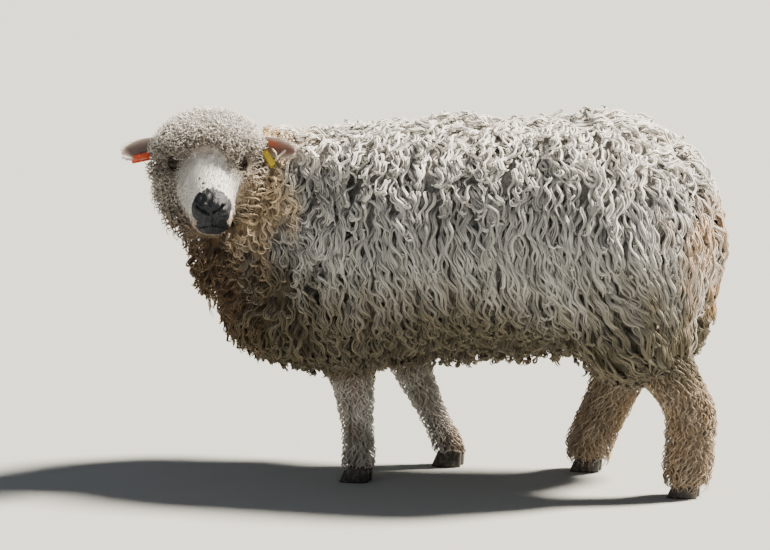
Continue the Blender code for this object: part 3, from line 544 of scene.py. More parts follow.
def over_ear(p):
    """Whether places of the sheep lie on an ear or its tag, or in front of them."""
    spots = []
    for side in (-1, 1):
        for share in (0.1, 0.3, 0.5, 0.7, 0.9):
            centre, _, face, _, _ = ear_place(side, share)
            spots += [centre + face * ahead for ahead in (0.0, 0.02, 0.04)]
    return near_any(p, spots, 0.016) | over_tag(p)


def over_tag(p):
    """Whether places of the sheep lie on an ear tag, or in front of it."""
    spots = []
    for side in (-1, 1):
        _, along, _, _, middle = tag_place(side)
        for share in (-0.4, 0.0, 0.4):
            spots += [middle + along * TAG_LENGTH * share + AHEAD * x for x in (0.0, 0.015, 0.030)]
    return near_any(p, spots, 0.010)


def wool_direction(q):
    """The way that the head's wool stands at places of the skull."""
    return unit(q - np.array((-0.028, -0.042, 0.0)))


def head_wool_depth(q):
    """Depth of the head's wool at places of the skull, down to nothing at the bare face."""
    depth = np.maximum(out_of_wool(q, wool_direction(q), 0.0), 0.0)
    for side in (-1, 1):
        depth = depth * (0.35 + 0.65 * smooth(rings_from_eye(q, side), 1.2, 2.6))
    depth = np.maximum(depth, 0.020 * smooth(-q[..., 0], 0.080, 0.115))
    return depth * smooth(-bare_margin(q), -0.004, 0.016)


def eye_frame(side):
    """The eye's centre, the way it looks, and its long and high directions."""
    down, up, left = EYE_PLACE
    centre = Vector(from_head((down, up, side * left)))
    down, up, left = EYE_LOOK[side]
    look = DOWN_FACE * down + OUT_OF_BROW * up + TO_LEFT * side * left
    look.normalize()
    high = (OUT_OF_BROW - look * OUT_OF_BROW.dot(look)).normalized()
    return centre, look, look.cross(high), high


def shift_to_solids():
    """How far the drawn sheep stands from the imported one, from the place of its left eye."""
    low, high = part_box("eye_left")
    shift = (low + high) / 2 - eye_frame(1)[0]
    return np.array((round(shift.x, 4), round(shift.y, 4), 0.0))


SHIFT = shift_to_solids()


def body_colour(p):
    """The colour of the body's skin and coat at places of the sheep: its markings, darker towards the
    belly, with painted sunlight on the back and beside the head, and painted shade on the chest and
    between the legs.
    """
    x, y, z = p[..., 0], p[..., 1], p[..., 2]
    clean = np.array(bpy.context.scene.sheep.fleece_colour)
    wander = 0.03 * ripple(p, 0.08, 3)
    # Painted sunlight: the fleece is whitened along the top of the back.
    colour = mixed(clean, BLEACHED_TIP_AND_PAINTED_SUN, 0.8 * smooth(z, 0.55, 0.63))
    colour = mixed(colour, BELLY_WOOL, 0.95 * smooth(-z + wander, -0.46, -0.28))
    # The chest darkens to the belly's brown wool: partly its own colour, partly painted shade under the
    # head.
    chest = smooth(-x + wander, 0.24, 0.36) * smooth(-z + wander, -0.48, -0.34)
    colour = mixed(colour, BELLY_WOOL, 0.90 * chest)
    throat = smooth(-x + wander, 0.33, 0.43) * smooth(-z + wander, -0.60, -0.47)
    colour = mixed(colour, THROAT_WOOL, 0.95 * throat)
    # Painted sunlight on the neck wool beside the head, on the sheep's left side only.
    beside = smooth(-head_wool_distance(p) + wander, -0.09, -0.01)
    beside = beside * smooth(to_head(p)[..., 2], 0.02, 0.08)
    colour = mixed(colour, PAINTED_SUN_ON_CHEEK, 0.85 * beside)
    stain = smooth(x + wander, 0.415, 0.465) * smooth(z, 0.26, 0.34) * smooth(-z, -0.58, -0.48)
    colour = mixed(colour, RUMP_STAIN, 0.60 * stain)
    # Painted shade between the legs, under the body.
    between = smooth(-np.abs(y), -0.10, -0.02) * smooth(-z, -0.40, -0.26)
    return mixed(colour, SHADED_LEG, 0.5 * between)


def leg_colour(p):
    """The marking of the legs: brown wool, paler on the shanks of the fore legs."""
    x, z = p[..., 0], p[..., 2]
    colour = mixed(LEG_WOOL, SHANK_WOOL, smooth(-x, 0.02, 0.10) * smooth(-z, -0.22, -0.15))
    colour = mixed(colour, RUMP_STAIN, 0.25 * smooth(ripple(p, 0.05, 5), 0.1, 0.9))
    return mixed(colour, SHADED_LEG, 0.40 * smooth(ripple(p, 0.07, 6), 0.1, 0.9))


def head_colour(q):
    """The marking of the head at places of the head, with painted sunlight on its top and on the sheep's
    left cheek.
    """
    left, height, ahead = seen(q)
    # Painted sunlight on the sheep's left cheek: its wool turns golden.
    sunlit_side = smooth(left, 0.02, 0.09) * smooth(-height, 0.0, 0.06)
    colour = mixed(HEAD_WOOL_COLOUR, PAINTED_SUN_ON_CHEEK, 0.75 * sunlit_side)
    # Painted sunlight: the wool on top of the head is whitened.
    colour = mixed(colour, BLEACHED_TIP_AND_PAINTED_SUN, smooth(height + 0.3 * np.abs(left), 0.032, 0.075))
    chin = smooth(-height, 0.075, 0.125) * smooth(-ahead, -0.09, -0.04)
    colour = mixed(colour, THROAT_WOOL, 0.85 * chin)
    edge = white_margin(q) + 0.005 * ripple(q, 0.012, 8)
    colour = mixed(colour, FACE_HAIR, smooth(edge, -0.006, 0.008))
    return mixed(colour, NOSE_SKIN, smooth(nose_margin(q), -0.0012, 0.0012))


def unwrap_body(p):
    """Where places of the body lie on an unwrap of its skin: round the trunk, and along it."""
    across = np.hypot(p[..., 1], p[..., 2] - TRUNK_HEIGHT)
    past = np.maximum(0.24 - across, 0.0) * np.sign(p[..., 0])
    along = (p[..., 0] + 0.8 * past + 0.82) / 1.62
    around = np.arctan2(p[..., 1], p[..., 2] - TRUNK_HEIGHT) / (2 * math.pi) + 0.5
    return np.stack([np.clip(along, 0.01, 0.99), 0.01 + 0.98 * around], axis=-1)


def unwrap_head(q):
    """Where places of the head lie on an unwrap of its skin: down the face, and round it."""
    around = np.arctan2(q[..., 1] + 0.035, q[..., 2]) / (2 * math.pi) + 0.5
    return np.stack([np.clip((q[..., 0] + 0.16) / 0.31, 0.01, 0.99), 0.01 + 0.98 * around], axis=-1)


def new_object(name, mesh):
    """An object of this mesh, in the scene."""
    made = bpy.data.objects.new(name, mesh)
    bpy.context.scene.collection.objects.link(made)
    return made


def moved(mesh):
    """A mesh moved onto the solids."""
    mesh.transform(Matrix.Translation(Vector(SHIFT)))
    return mesh


def add_piece(name, mesh, finish, replaced=()):
    """A piece of the sheep in its place: riding on the solids, with its material."""
    made = new_object(name, mesh)
    mesh.materials.append(finish)
    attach(made, BODY)
    if replaced:
        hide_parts(*replaced)
    return made


def paint(mesh, colours):
    """Stores a linear colour for each vertex."""
    layer = mesh.color_attributes.new("tint", "FLOAT_COLOR", "POINT")
    rows = np.ones((len(mesh.vertices), 4), np.float32)
    rows[:, :3] = np.clip(colours, 0.0, 1.0)
    layer.data.foreach_set("color", rows.ravel())


def corners(mesh):
    """The places of a mesh's vertices."""
    rows = np.empty(len(mesh.vertices) * 3, np.float32)
    mesh.vertices.foreach_get("co", rows)
    return rows.reshape(-1, 3).astype(float)


def place_corners(mesh, points):
    """Moves a mesh's vertices to these places."""
    mesh.vertices.foreach_set("co", points.astype(np.float32).ravel())
    mesh.update()


def grid_mesh(name, rings, closed_ends=True):
    """A mesh through rings of as many points each, with a fan of faces at both ends."""
    count = len(rings[0])
    points = [tuple(p) for ring in rings for p in ring]
    faces = []
    for k in range(len(rings) - 1):
        for i in range(count):
            j = (i + 1) % count
            faces.append((k * count + i, k * count + j, (k + 1) * count + j, (k + 1) * count + i))
    if closed_ends:
        for k, turn in ((0, 1), (len(rings) - 1, -1)):
            points.append(tuple(np.mean(rings[k], axis=0)))
            middle = len(points) - 1
            for i in range(count):
                pair = (k * count + i, k * count + (i + 1) % count)[::turn]
                faces.append((pair[1], pair[0], middle))
    mesh = bpy.data.meshes.new(name)
    mesh.from_pydata(points, [], faces)
    return tidy_mesh(mesh)


def tidy_mesh(mesh):
    """Turns a mesh's faces outwards and shades them smooth."""
    shape = bmesh.new()
    shape.from_mesh(mesh)
    bmesh.ops.recalc_face_normals(shape, faces=shape.faces)
    for face in shape.faces:
        face.smooth = True
    shape.to_mesh(mesh)
    shape.free()
    return mesh


def mesh_of(shape, name):
    """A mesh of a shape that is done with."""
    made = bpy.data.meshes.new(name)
    shape.to_mesh(made)
    shape.free()
    return made


def joined(name, meshes):
    """One mesh of several."""
    shape = bmesh.new()
    for mesh in meshes:
        shape.from_mesh(mesh)
    return mesh_of(shape, name)


def strand_mesh(name, places, normals, half_widths, colours, roots_on_unwrap):
    """Closed three-sided strands through rows of places, each with its own patch of the bake map."""
    strands, rings = places.shape[:2]
    along = unit(np.gradient(places, axis=1))
    side = unit(np.cross(normals, along))
    out = np.cross(along, side)
    half_widths = half_widths[..., None]
    thickness = np.minimum(0.75 * half_widths, FLAT_STRAND)
    points = np.empty((strands, rings, 3, 3))
    for i in range(3):
        turn = math.radians(90 + 120 * i)
        reach = side * half_widths * math.cos(turn) + out * thickness * math.sin(turn)
        points[:, :, i] = places + reach + SHIFT

    k, i = np.meshgrid(np.arange(rings - 1), np.arange(3), indexing="ij")
    j = (i + 1) % 3
    quads = np.stack([3 * k + i, 3 * k + j, 3 * k + 3 + j, 3 * k + 3 + i], axis=-1).reshape(-1)
    tip = 3 * (rings - 1)
    one = np.concatenate([quads, [0, 2, 1], [tip, tip + 1, tip + 2]])
    starts = np.concatenate([np.arange(0, len(quads), 4), [len(quads), len(quads) + 3]])
    loops = (np.arange(strands)[:, None] * rings * 3 + one).ravel()
    loop_starts = (np.arange(strands)[:, None] * len(one) + starts).ravel()

    mesh = bpy.data.meshes.new(name)
    mesh.vertices.add(strands * rings * 3)
    mesh.vertices.foreach_set("co", points.astype(np.float32).ravel())
    mesh.loops.add(len(loops))
    mesh.loops.foreach_set("vertex_index", loops.astype(np.int32))
    mesh.polygons.add(len(loop_starts))
    mesh.polygons.foreach_set("loop_start", loop_starts.astype(np.int32))
    mesh.polygons.foreach_set("use_smooth", np.ones(len(loop_starts), bool))
    mesh.update(calc_edges=True)
    paint(mesh, np.repeat(colours.reshape(-1, 3), 3, axis=0))

    steps = np.linalg.norm(np.diff(places, axis=1), axis=2)
    far = np.concatenate([np.zeros((strands, 1)), np.cumsum(steps, axis=1)], axis=1)
    round_one = np.concatenate([np.stack([i, i + 1, i + 1, i], axis=-1).reshape(-1), np.zeros(6)])
    ring_one = np.concatenate([np.stack([k, k, k + 1, k + 1], axis=-1).reshape(-1), np.zeros(6)])
    fibre = np.empty((strands, len(one), 2), np.float32)
    fibre[..., 0] = round_one + 3 * (np.arange(strands)[:, None] % 499)
    fibre[..., 1] = far[:, ring_one.astype(int)] * 1000
    mesh.uv_layers.new(name="fibre").data.foreach_set("uv", fibre.ravel())

    ring = (np.arange(rings) / (rings - 1) - 0.5) * BAKE_PATCH
    spot = np.empty((strands, rings, 3, 2))
    spot[..., 0] = roots_on_unwrap[:, None, None, 0] + ring[None, :, None]
    spot[..., 1] = roots_on_unwrap[:, None, None, 1] + (np.arange(3) / 2 - 0.5) * BAKE_PATCH
    layer = mesh.uv_layers.new(name="OFBake")
    layer.data.foreach_set("uv", spot.reshape(-1, 2)[loops].astype(np.float32).ravel())
    return mesh


def add_wool(name, strands, finish):
    """A piece of the coat. Its strands are already on the solids."""
    return add_piece(name, strand_mesh(name, *strands), finish)


def points_over(mesh, count, rng):
    """Points spread at random over a mesh, by area."""
    mesh.calc_loop_triangles()
    rows = np.empty(len(mesh.loop_triangles) * 3, np.int32)
    mesh.loop_triangles.foreach_get("vertices", rows)
    a, b, c = (corners(mesh)[rows.reshape(-1, 3)[:, i]] for i in range(3))
    area = np.linalg.norm(np.cross(b - a, c - a), axis=1)
    chosen = rng.choice(len(area), count, p=area / area.sum())
    u, v = rng.uniform(size=(2, count, 1))
    flip = u + v > 1
    u, v = np.where(flip, 1 - u, u), np.where(flip, 1 - v, v)
    return a[chosen] + (b - a)[chosen] * u + (c - a)[chosen] * v


def spaced(points, spacing):
    """Which of the points to keep, so that no two lie closer than the spacing."""
    cells = {}
    kept = []
    keys = np.floor(points / spacing).astype(int)
    around = [(i, j, k) for i in (-1, 0, 1) for j in (-1, 0, 1) for k in (-1, 0, 1)]
    for index, (point, key) in enumerate(zip(points, keys)):
        x, y, z = key
        near = [n for i, j, k in around for n in cells.get((x + i, y + j, z + k), ())]
        if near and (((points[near] - point) ** 2).sum(axis=1) < spacing**2).any():
            continue
        cells.setdefault((x, y, z), []).append(index)
        kept.append(index)
    return np.array(kept)


def wool_kind(p, normal):
    """The staple at roots on the body: its size, wave and rings, and how unruly it lies."""
    s = bpy.context.scene.sheep
    count = len(p)
    x = p[:, 0]
    top = smooth(normal[:, 2] + 0.10 * ripple(p, 0.10, 11), 0.30, 0.80)
    belly = smooth(-normal[:, 2], 0.25, 0.85)
    throat = smooth(-x + 0.02 * ripple(p, 0.06, 12), 0.31, 0.39)
    shoulder = smooth(-x + 0.04 * ripple(p, 0.12, 13), 0.10, 0.26) * (1 - top)
    kinds = {
        "length": (s.side_length, s.back_length, 0.050, 0.070, 0.092),
        "wave": (s.wave_length, s.wave_length * 0.72, s.wave_length * 0.7, 0.028, 0.040),
        "height": (s.wave_height, 0.0042, 0.0036, 0.0036, 0.0048),
        "curl": (0.22, 0.55, 0.40, 0.95, 0.55),
        "ring": (s.ring_radius, s.ring_radius, 0.0075, 0.0075, 0.0085),
        "start": (0.62, 0.50, 0.55, 0.30, 0.48),
        "width": (s.strand_width, s.strand_width * 0.92, 0.0042, 0.0034, 0.0046),
        "broad": (1.55, 1.45, 1.4, 0.9, 1.4),
        "turn": (0.20, 0.42, 0.40, 0.80, 0.50),
    }
    made = {}
    for name, (side, back, under, neck, arm) in kinds.items():
        value = np.full(count, side)
        value += (arm - value) * shoulder
        value += (back - value) * top
        value += (neck - value) * throat
        value += (under - value) * belly
        made[name] = value
    return made


def lie_of_wool(p, normal, turn):
    """The way the fleece lies: parted at the spine, down the sides and back over the thighs."""
    thigh = smooth(p[:, 0], 0.22, 0.36) * smooth(-p[:, 2], -0.52, -0.36)
    fall = np.stack([0.10 + 0.55 * thigh, 0.35 * np.sign(p[:, 1]), np.full(len(p), -1.0)], axis=1)
    fall = unit(fall)
    along = laid(fall, normal)
    along = along * np.cos(turn)[:, None] + np.cross(normal, along) * np.sin(turn)[:, None]
    hanging = smooth(-normal[:, 2], -HANG_FROM - 0.1, -HANG_FROM + 0.25)
    return unit(mixed(along, fall, hanging))


def combed(roots, kind, gaps, turn):
    """The middle lines of locks: from the skin up to the tips' surface, then along the body."""
    count = len(roots)
    places = np.empty((count, RINGS, 3))
    normals = np.empty((count, RINGS, 3))
    p = roots.copy()
    depth = fleece_depth(outward(p)) * (1 - SKIN_SHARE) + 0.004
    for k, share in enumerate(SHARES):
        if k:
            step = kind["length"] * (share - SHARES[k - 1])
            p = p + lie_of_wool(p, normal, turn) * step[:, None]
        normal = outward(p)
        rise = smooth(share, 0.0, 0.34)
        level = -depth * (1 - rise) - gaps * rise
        off = envelope(p) - level
        if k:
            off = np.where(normal[:, 2] < HANG_FROM, np.maximum(off, 0.0), off)
        p = p - normal * off[:, None]
        places[:, k] = p
        normals[:, k] = normal
    return places, normals


def free_share(places):
    """How much of each lock's length is free of the head and the ears."""
    blocked = over_ear(places) | (depth_in_head(places) < HEAD_TIPS_SINK)
    blocked[:, 0] = False
    first = np.where(blocked.any(axis=1), blocked.argmax(axis=1) - 1, RINGS - 1)
    return SHARES[first]


def laid_locks(roots, rng):
    """The locks from these roots that have room: roots, kinds, middle lines and normals."""
    kind = wool_kind(roots, outward(roots))
    count = len(roots)
    kind["length"] *= rng.uniform(0.80, 1.15, count)
    gaps = 0.016 * rng.uniform(0.0, 1.0, count) ** 1.3
    ruff = smooth(-roots[:, 0], 0.36, 0.42) * smooth(-roots[:, 2], -0.58, -0.50)
    gaps = gaps * (1 - ruff) + rng.uniform(-0.006, 0.010, count) * ruff
    turn = kind["turn"] * (0.45 * rng.normal(size=count) + 0.75 * ripple(roots, 0.07, 17))
    spine = smooth(-np.abs(roots[:, 1]), -0.050, -0.015) * smooth(roots[:, 2], 0.45, 0.50)
    turn = turn + spine * rng.uniform(-2.6, 2.6, count)
    free = free_share(combed(roots, kind, gaps, turn)[0])
    long_enough = free > 0.15
    kind["length"] *= free
    kind["curl"] = kind["curl"] * (free > 0.45)
    kind = {name: value[long_enough] for name, value in kind.items()}
    roots = roots[long_enough]
    return roots, kind, *combed(roots, kind, gaps[long_enough], turn[long_enough])


def body_strands(roots, rng):
    """The strands of the body's locks that grow from these roots."""
    s = bpy.context.scene.sheep
    roots, kind, places, normals = laid_locks(roots, rng)
    count = len(roots)

    # Each lock is parted into three locklets, and each locklet into a few strands.
    per = max(s.strands_a_lock // 3, 1)
    index = np.repeat(np.arange(count), 3 * per)
    total = len(index)
    parting = np.tile(np.arange(3 * per) // per, count)
    broad = np.tile(np.arange(3 * per) % per == 0, count)
    locklet = index * 3 + parting

    def by_locklet(values):
        return values[locklet]

    places, normals = places[index], normals[index]
    along = unit(np.gradient(places, axis=1))
    across = unit(np.cross(normals, along))
    share = SHARES[None, :]
    drawn = by_locklet(rng.uniform(0.05, 0.55, count * 3))[:, None]
    close = 1 - drawn * smooth(share, 0.25, 1.0)
    beside = (parting - 1) * 0.36 * s.lock_spacing + by_locklet(rng.normal(0, 0.0022, count * 3))
    within = np.where(broad, 0.0, rng.normal(0, 0.0030, total))
    lifted = by_locklet(rng.normal(0, 0.0032, count * 3)) + np.where(broad, -0.0012, 0.0014)
    length = (kind["length"][index] * by_locklet(rng.uniform(0.88, 1.12, count * 3)))[:, None]
    phase = 3.2 * ripple(roots, 0.06, 19)[index] + by_locklet(rng.normal(0, 0.7, count * 3))
    phase = (phase + rng.normal(0, 0.15, total))[:, None]
    swing = 2 * math.pi * length * share / kind["wave"][index][:, None] + phase
    height = kind["height"][index][:, None] * smooth(share, 0.05, 0.35)
    height = height * by_locklet(rng.uniform(0.6, 1.35, count * 3))[:, None]
    sideways = (beside[:, None] + within[:, None] * (1 - 0.5 * smooth(share, 0.5, 1.0))) * close
    sideways = sideways + height * np.sin(swing)
    outwards = lifted[:, None] * (0.3 + 0.7 * smooth(share, 0.0, 0.5)) + 0.75 * height * np.cos(swing)
    straight = places + across * sideways[..., None] + normals * outwards[..., None]

    # Curly locklets end in a hook, which is part of a ring.
    ringed = by_locklet(rng.uniform(size=count * 3) < np.repeat(kind["curl"], 3))
    ringed = ringed * by_locklet(rng.uniform(0.7, 1.0, count * 3))
    hand = by_locklet(np.where(rng.uniform(size=count * 3) < 0.5, -1.0, 1.0))
    start = kind["start"][index] + by_locklet(rng.uniform(-0.08, 0.08, count * 3))
    first = np.clip(np.searchsorted(SHARES, start), 2, RINGS - 5)
    row = np.arange(total)
    radius = kind["ring"][index] * by_locklet(rng.uniform(0.65, 1.25, count * 3))
    radius = radius * rng.uniform(0.88, 1.12, total)
    late = (SHARES[None, :] - SHARES[first][:, None]) / (1 - SHARES[first][:, None])
    late = np.clip(late, 0.0, 1.0)
    left_over = kind["length"][index] * (1 - SHARES[first])
    turns = np.clip(left_over / (2 * math.pi * radius), 0.45, 0.85) * rng.uniform(0.85, 1.1, total)
    angle = 2 * math.pi * turns[:, None] * late
    shrink = 1 - 0.30 * late
    foot = straight[row, first][:, None]
    a0, c0, n0 = (v[row, first][:, None] for v in (along, across, normals))
    tilt = by_locklet(rng.normal(0, 0.45, count * 3))[:, None, None]
    c0 = unit(c0 + n0 * tilt)
    ring = (
        foot
        + c0 * (hand * radius)[:, None, None] * (1 - np.cos(angle) * shrink)[..., None]
        + a0 * (radius[:, None] * (np.sin(angle) * shrink + 0.9 * late))[..., None]
        + n0 * (0.004 * late * np.sin(angle + phase))[..., None]
    )
    blend = np.where(np.arange(RINGS)[None, :] > first[:, None], ringed[:, None], 0.0)
    path = mixed(straight, ring, blend)
    path[..., 2] = np.maximum(path[..., 2], CLAW_HEIGHT)

    half = 0.5 * kind["width"][index][:, None] * rng.uniform(0.8, 1.2, (total, 1))
    half = half * np.where(broad, kind["broad"][index], 0.68)[:, None]
    half = half * (0.75 + 0.25 * smooth(share, 0.0, 0.3)) * (1 - 0.70 * smooth(share, 0.70, 1.0))
    colours = body_colour(path)
    light = by_locklet(rng.uniform(0.86, 1.10, count * 3)) * rng.uniform(0.90, 1.08, total)
    # Strands darken towards their roots: painted shade deep in the fleece, with some soil.
    colours = colours * (0.60 + 0.40 * smooth(share, 0.10, 0.50))[..., None]
    colours = mixed(colours, BLEACHED_TIP_AND_PAINTED_SUN * colours / FLEECE, 0.55 * smooth(share, 0.5, 1.0))
    colours = colours * light[:, None, None]
    bake = unwrap_body(roots)[index] + rng.uniform(-0.004, 0.004, (total, 2))
    return path, normals, half, colours, bake


def body_skin_mesh():
    """The body under its wool: rough balls, remeshed and settled at the skin's level."""
    shape = bmesh.new()
    limbs = [TRUNK, NECK, TAIL]
    for side in (-1, 1):
        for start, end, low, high in (THIGH, UPPER_ARM):
            ends = [(x, side * y, z) for x, y, z in (start, end)]
            limbs.append((*ends, low, high))
    for start, end, low, high in limbs:
        steps = 6
        for i in range(steps + 1):
            t = i / steps
            bmesh.ops.create_icosphere(
                shape,
                subdivisions=3,
                radius=(low + (high - low) * t) * 0.85,
                matrix=Matrix.Translation(Vector(start).lerp(Vector(end), t)),
            )
    mesh = remeshed(mesh_of(shape, "body_skin"), BODY_VOXEL)
    place_corners(mesh, settled(corners(mesh), SKIN_SHARE))
    return mesh


def remeshed(mesh, voxel):
    """A mesh made whole, of square faces of this size."""
    item = new_object("remeshed", mesh)
    remesh = item.modifiers.new("remesh", "REMESH")
    remesh.mode = "VOXEL"
    remesh.voxel_size = voxel
    bpy.context.view_layer.update()
    seen_item = item.evaluated_get(bpy.context.evaluated_depsgraph_get())
    made = bpy.data.meshes.new_from_object(seen_item)
    bpy.data.objects.remove(item, do_unlink=True)
    return made


def leg_at(line, at):
    """Places along a leg's middle and its half widths, by row of its table."""
    table = [(i, *place, radius) for i, (place, radius) in enumerate(line)]
    x, y, z, radius = through(table, at)
    return np.stack([x, y, z], axis=-1), radius


def leg_skin_mesh(line):
    """One leg under its wool."""
    rows = np.linspace(0, len(line) - 1, 26)
    middle, radius = leg_at(line, rows)
    rings = []
    for centre, reach in zip(middle, radius - LEG_SKIN_SINK):
        turn = np.linspace(0, 2 * math.pi, 20, endpoint=False)
        ring = np.stack([np.cos(turn), np.sin(turn) * LEG_FLATNESS, np.zeros(20)], axis=1)
        rings.append(centre + ring * reach)
    return grid_mesh("leg", rings)


def eye_margin(q, side):
    """How far places of the head lie outside the opening between an eye's lids, in metres."""
    centre, look, long, high = (np.array(v) for v in eye_frame(side))
    flat = from_head(q) - centre
    distance = np.linalg.norm(flat, axis=-1)
    aside, above, ahead = flat @ long, flat @ high, flat @ look
    scale = EYE_RADIUS / np.maximum(distance, 1e-6)
    oval = np.hypot(aside * scale / LID_HALF_LENGTH, above * scale / LID_HALF_HEIGHT)
    margin = (oval - 1) * (LID_HALF_LENGTH + LID_HALF_HEIGHT) / 2
    return np.where(ahead > 0, margin, 1.0) + np.maximum(distance - 0.045, 0.0)


def rings_from_eye(q, side):
    """How many times an eye's opening away places of the head lie, as one looks into the eye."""
    centre, look, long, high = (np.array(v) for v in eye_frame(side))
    flat = from_head(q) - centre
    away = np.hypot(flat @ long / LID_HALF_LENGTH, flat @ high / LID_HALF_HEIGHT)
    return np.where(np.abs(flat @ look - 0.035) < 0.045, away, 9.0)


def hides_right_eye(q):
    """Whether places of the head hide the right eye from whoever faces the sheep."""
    centre, look = eye_frame(-1)[:2]
    eye = to_head(np.array(centre + look * EYE_RADIUS * 0.8))
    left, height, ahead = (there - here for there, here in zip(seen(q), seen(eye)))
    return (np.hypot(left / 0.0100, height / 0.0085) < 1.0) & (ahead > 0.0)


def sunk_round_eye(q, side):
    """Places of the head's skin drawn in to the eyeball round its lids, and inside it between them."""
    centre = to_head(np.array(eye_frame(side)[0]))
    margin = eye_margin(q, side)
    away = q - centre
    distance = np.linalg.norm(away, axis=-1)
    wanted = EYE_RADIUS + SKIN_OVER_EYE - 0.0060 * smooth(-margin, -0.0005, 0.0035)
    wanted = wanted + 0.10 * np.maximum(margin, 0.0)
    wanted = np.minimum(distance, wanted)
    share = 1 - smooth(margin, 0.0020, 0.0150)
    reach = distance + (wanted - distance) * share
    return centre + away * (reach / np.maximum(distance, 1e-6))[..., None]


def head_skin_mesh():
    """The head: the skull's loft raised under its wool, with nostrils, lips and philtrum."""
    share = np.linspace(0, 1, HEAD_RINGS)
    down = HEAD_BACK + HEAD_LENGTH * (1 - (1 - share) ** 1.45)
    angle = np.linspace(0, 2 * math.pi, HEAD_SIDES, endpoint=False)
    q = skull(down[:, None], angle[None, :])
    q = q + wool_direction(q) * (0.50 * head_wool_depth(q))[..., None]
    centre = q[-1].mean(axis=0)
    inwards = np.linspace(0, 1, 18)[1:-1, None, None]
    tip = centre + (q[-1] - centre) * (1 - inwards)
    tip[..., 0] += 0.0030 * (1 - (1 - inwards[..., 0]) ** 2)
    q = np.concatenate([q, tip])
    left, height, ahead = seen(q)
    front = smooth(ahead, 0.040, 0.060)
    relief = np.zeros(left.shape)
    for side in (-1, 1):
        nostril = NOSTRILS[side]
        relief -= 0.0068 * groove(left, height, nostril, 0.0021)
        wing = [(x + side * 0.0020, z + 0.0052) for x, z in nostril[:3]]
        relief += 0.0022 * groove(left, height, wing, 0.0030)
        relief += 0.0022 * groove(left, height, [(0.0105 + side * 0.013, -0.1100)] * 2, 0.0080)
    relief -= 0.0024 * groove(left, height, [(0.0112, -0.0995), (0.0122, -0.1205)], 0.0014)
    relief -= 0.0050 * groove(left, height, mouth_line(), 0.0017)
    relief += 0.0016 * groove(left, height, [(x, z - 0.0060) for x, z in mouth_line()], 0.0034)
    relief += 0.0014 * ripple(q, 0.010, 9) * smooth(nose_margin(q), 0.0, 0.004)
    q[..., 0] += relief * front * math.cos(FACE_SLOPE)
    q[..., 1] += relief * front * math.sin(FACE_SLOPE)
    for side in (-1, 1):
        q = sunk_round_eye(q, side)
    return grid_mesh("head", from_head(q))


def groove(left, height, line, reach):
    """How near places of the face, as seen from the front, lie to a line: 1 on it, 0 away."""
    found = np.full(left.shape, NOWHERE)
    for (x0, z0), (x1, z1) in zip(line, line[1:]):
        dx, dz = x1 - x0, z1 - z0
        long = max(dx * dx + dz * dz, 1e-12)
        t = np.clip(((left - x0) * dx + (height - z0) * dz) / long, 0, 1)
        found = np.minimum(found, np.hypot(left - x0 - t * dx, height - z0 - t * dz))
    return np.exp(-((found / reach) ** 2))


def mouth_line():
    """The line between the lips, as seen from the front."""
    across = np.linspace(-0.034, 0.034, 9)
    return [(0.0105 + x, -0.1215 - 0.0060 * (x / 0.030) ** 2) for x in across]


def lids_mesh(side):
    """The two lids of one eye, as one soft almond ring on the ball."""
    centre, look, long, high = eye_frame(side)
    rings = []
    count = 40
    for i in range(count):
        turn = 2 * math.pi * i / count
        cos, sin = math.cos(turn), math.sin(turn)
        flat = long * LID_HALF_LENGTH * cos + high * LID_HALF_HEIGHT * sin * abs(sin) ** 0.35
        depth = math.sqrt(max((EYE_RADIUS + 0.0006) ** 2 - flat.length_squared, 0.0))
        middle = centre + flat + look * depth
        radial = flat.normalized()
        upper = 1.0 + 0.45 * max(sin, 0.0)
        ring = []
        for k in range(10):
            around = 2 * math.pi * k / 10
            wide = LID_RADIUS * upper * (1.9 if math.cos(around) > 0 else 0.8)
            ring.append(
                middle
                + radial * wide * math.cos(around)
                + look * LID_RADIUS * upper * math.sin(around)
                - look * 0.003 * max(math.cos(around), 0.0)
            )
        rings.append(ring)
    rings.append(rings[0])
    shape = bmesh.new()
    shape.from_mesh(grid_mesh("lids", rings, closed_ends=False))
    bmesh.ops.remove_doubles(shape, verts=shape.verts, dist=1e-6)
    return tidy_mesh(mesh_of(shape, "lids"))


def set_float(mesh, name, values):
    """Stores a number for each vertex."""
    layer = mesh.attributes.new(name, "FLOAT", "POINT")
    layer.data.foreach_set("value", np.asarray(values, np.float32))


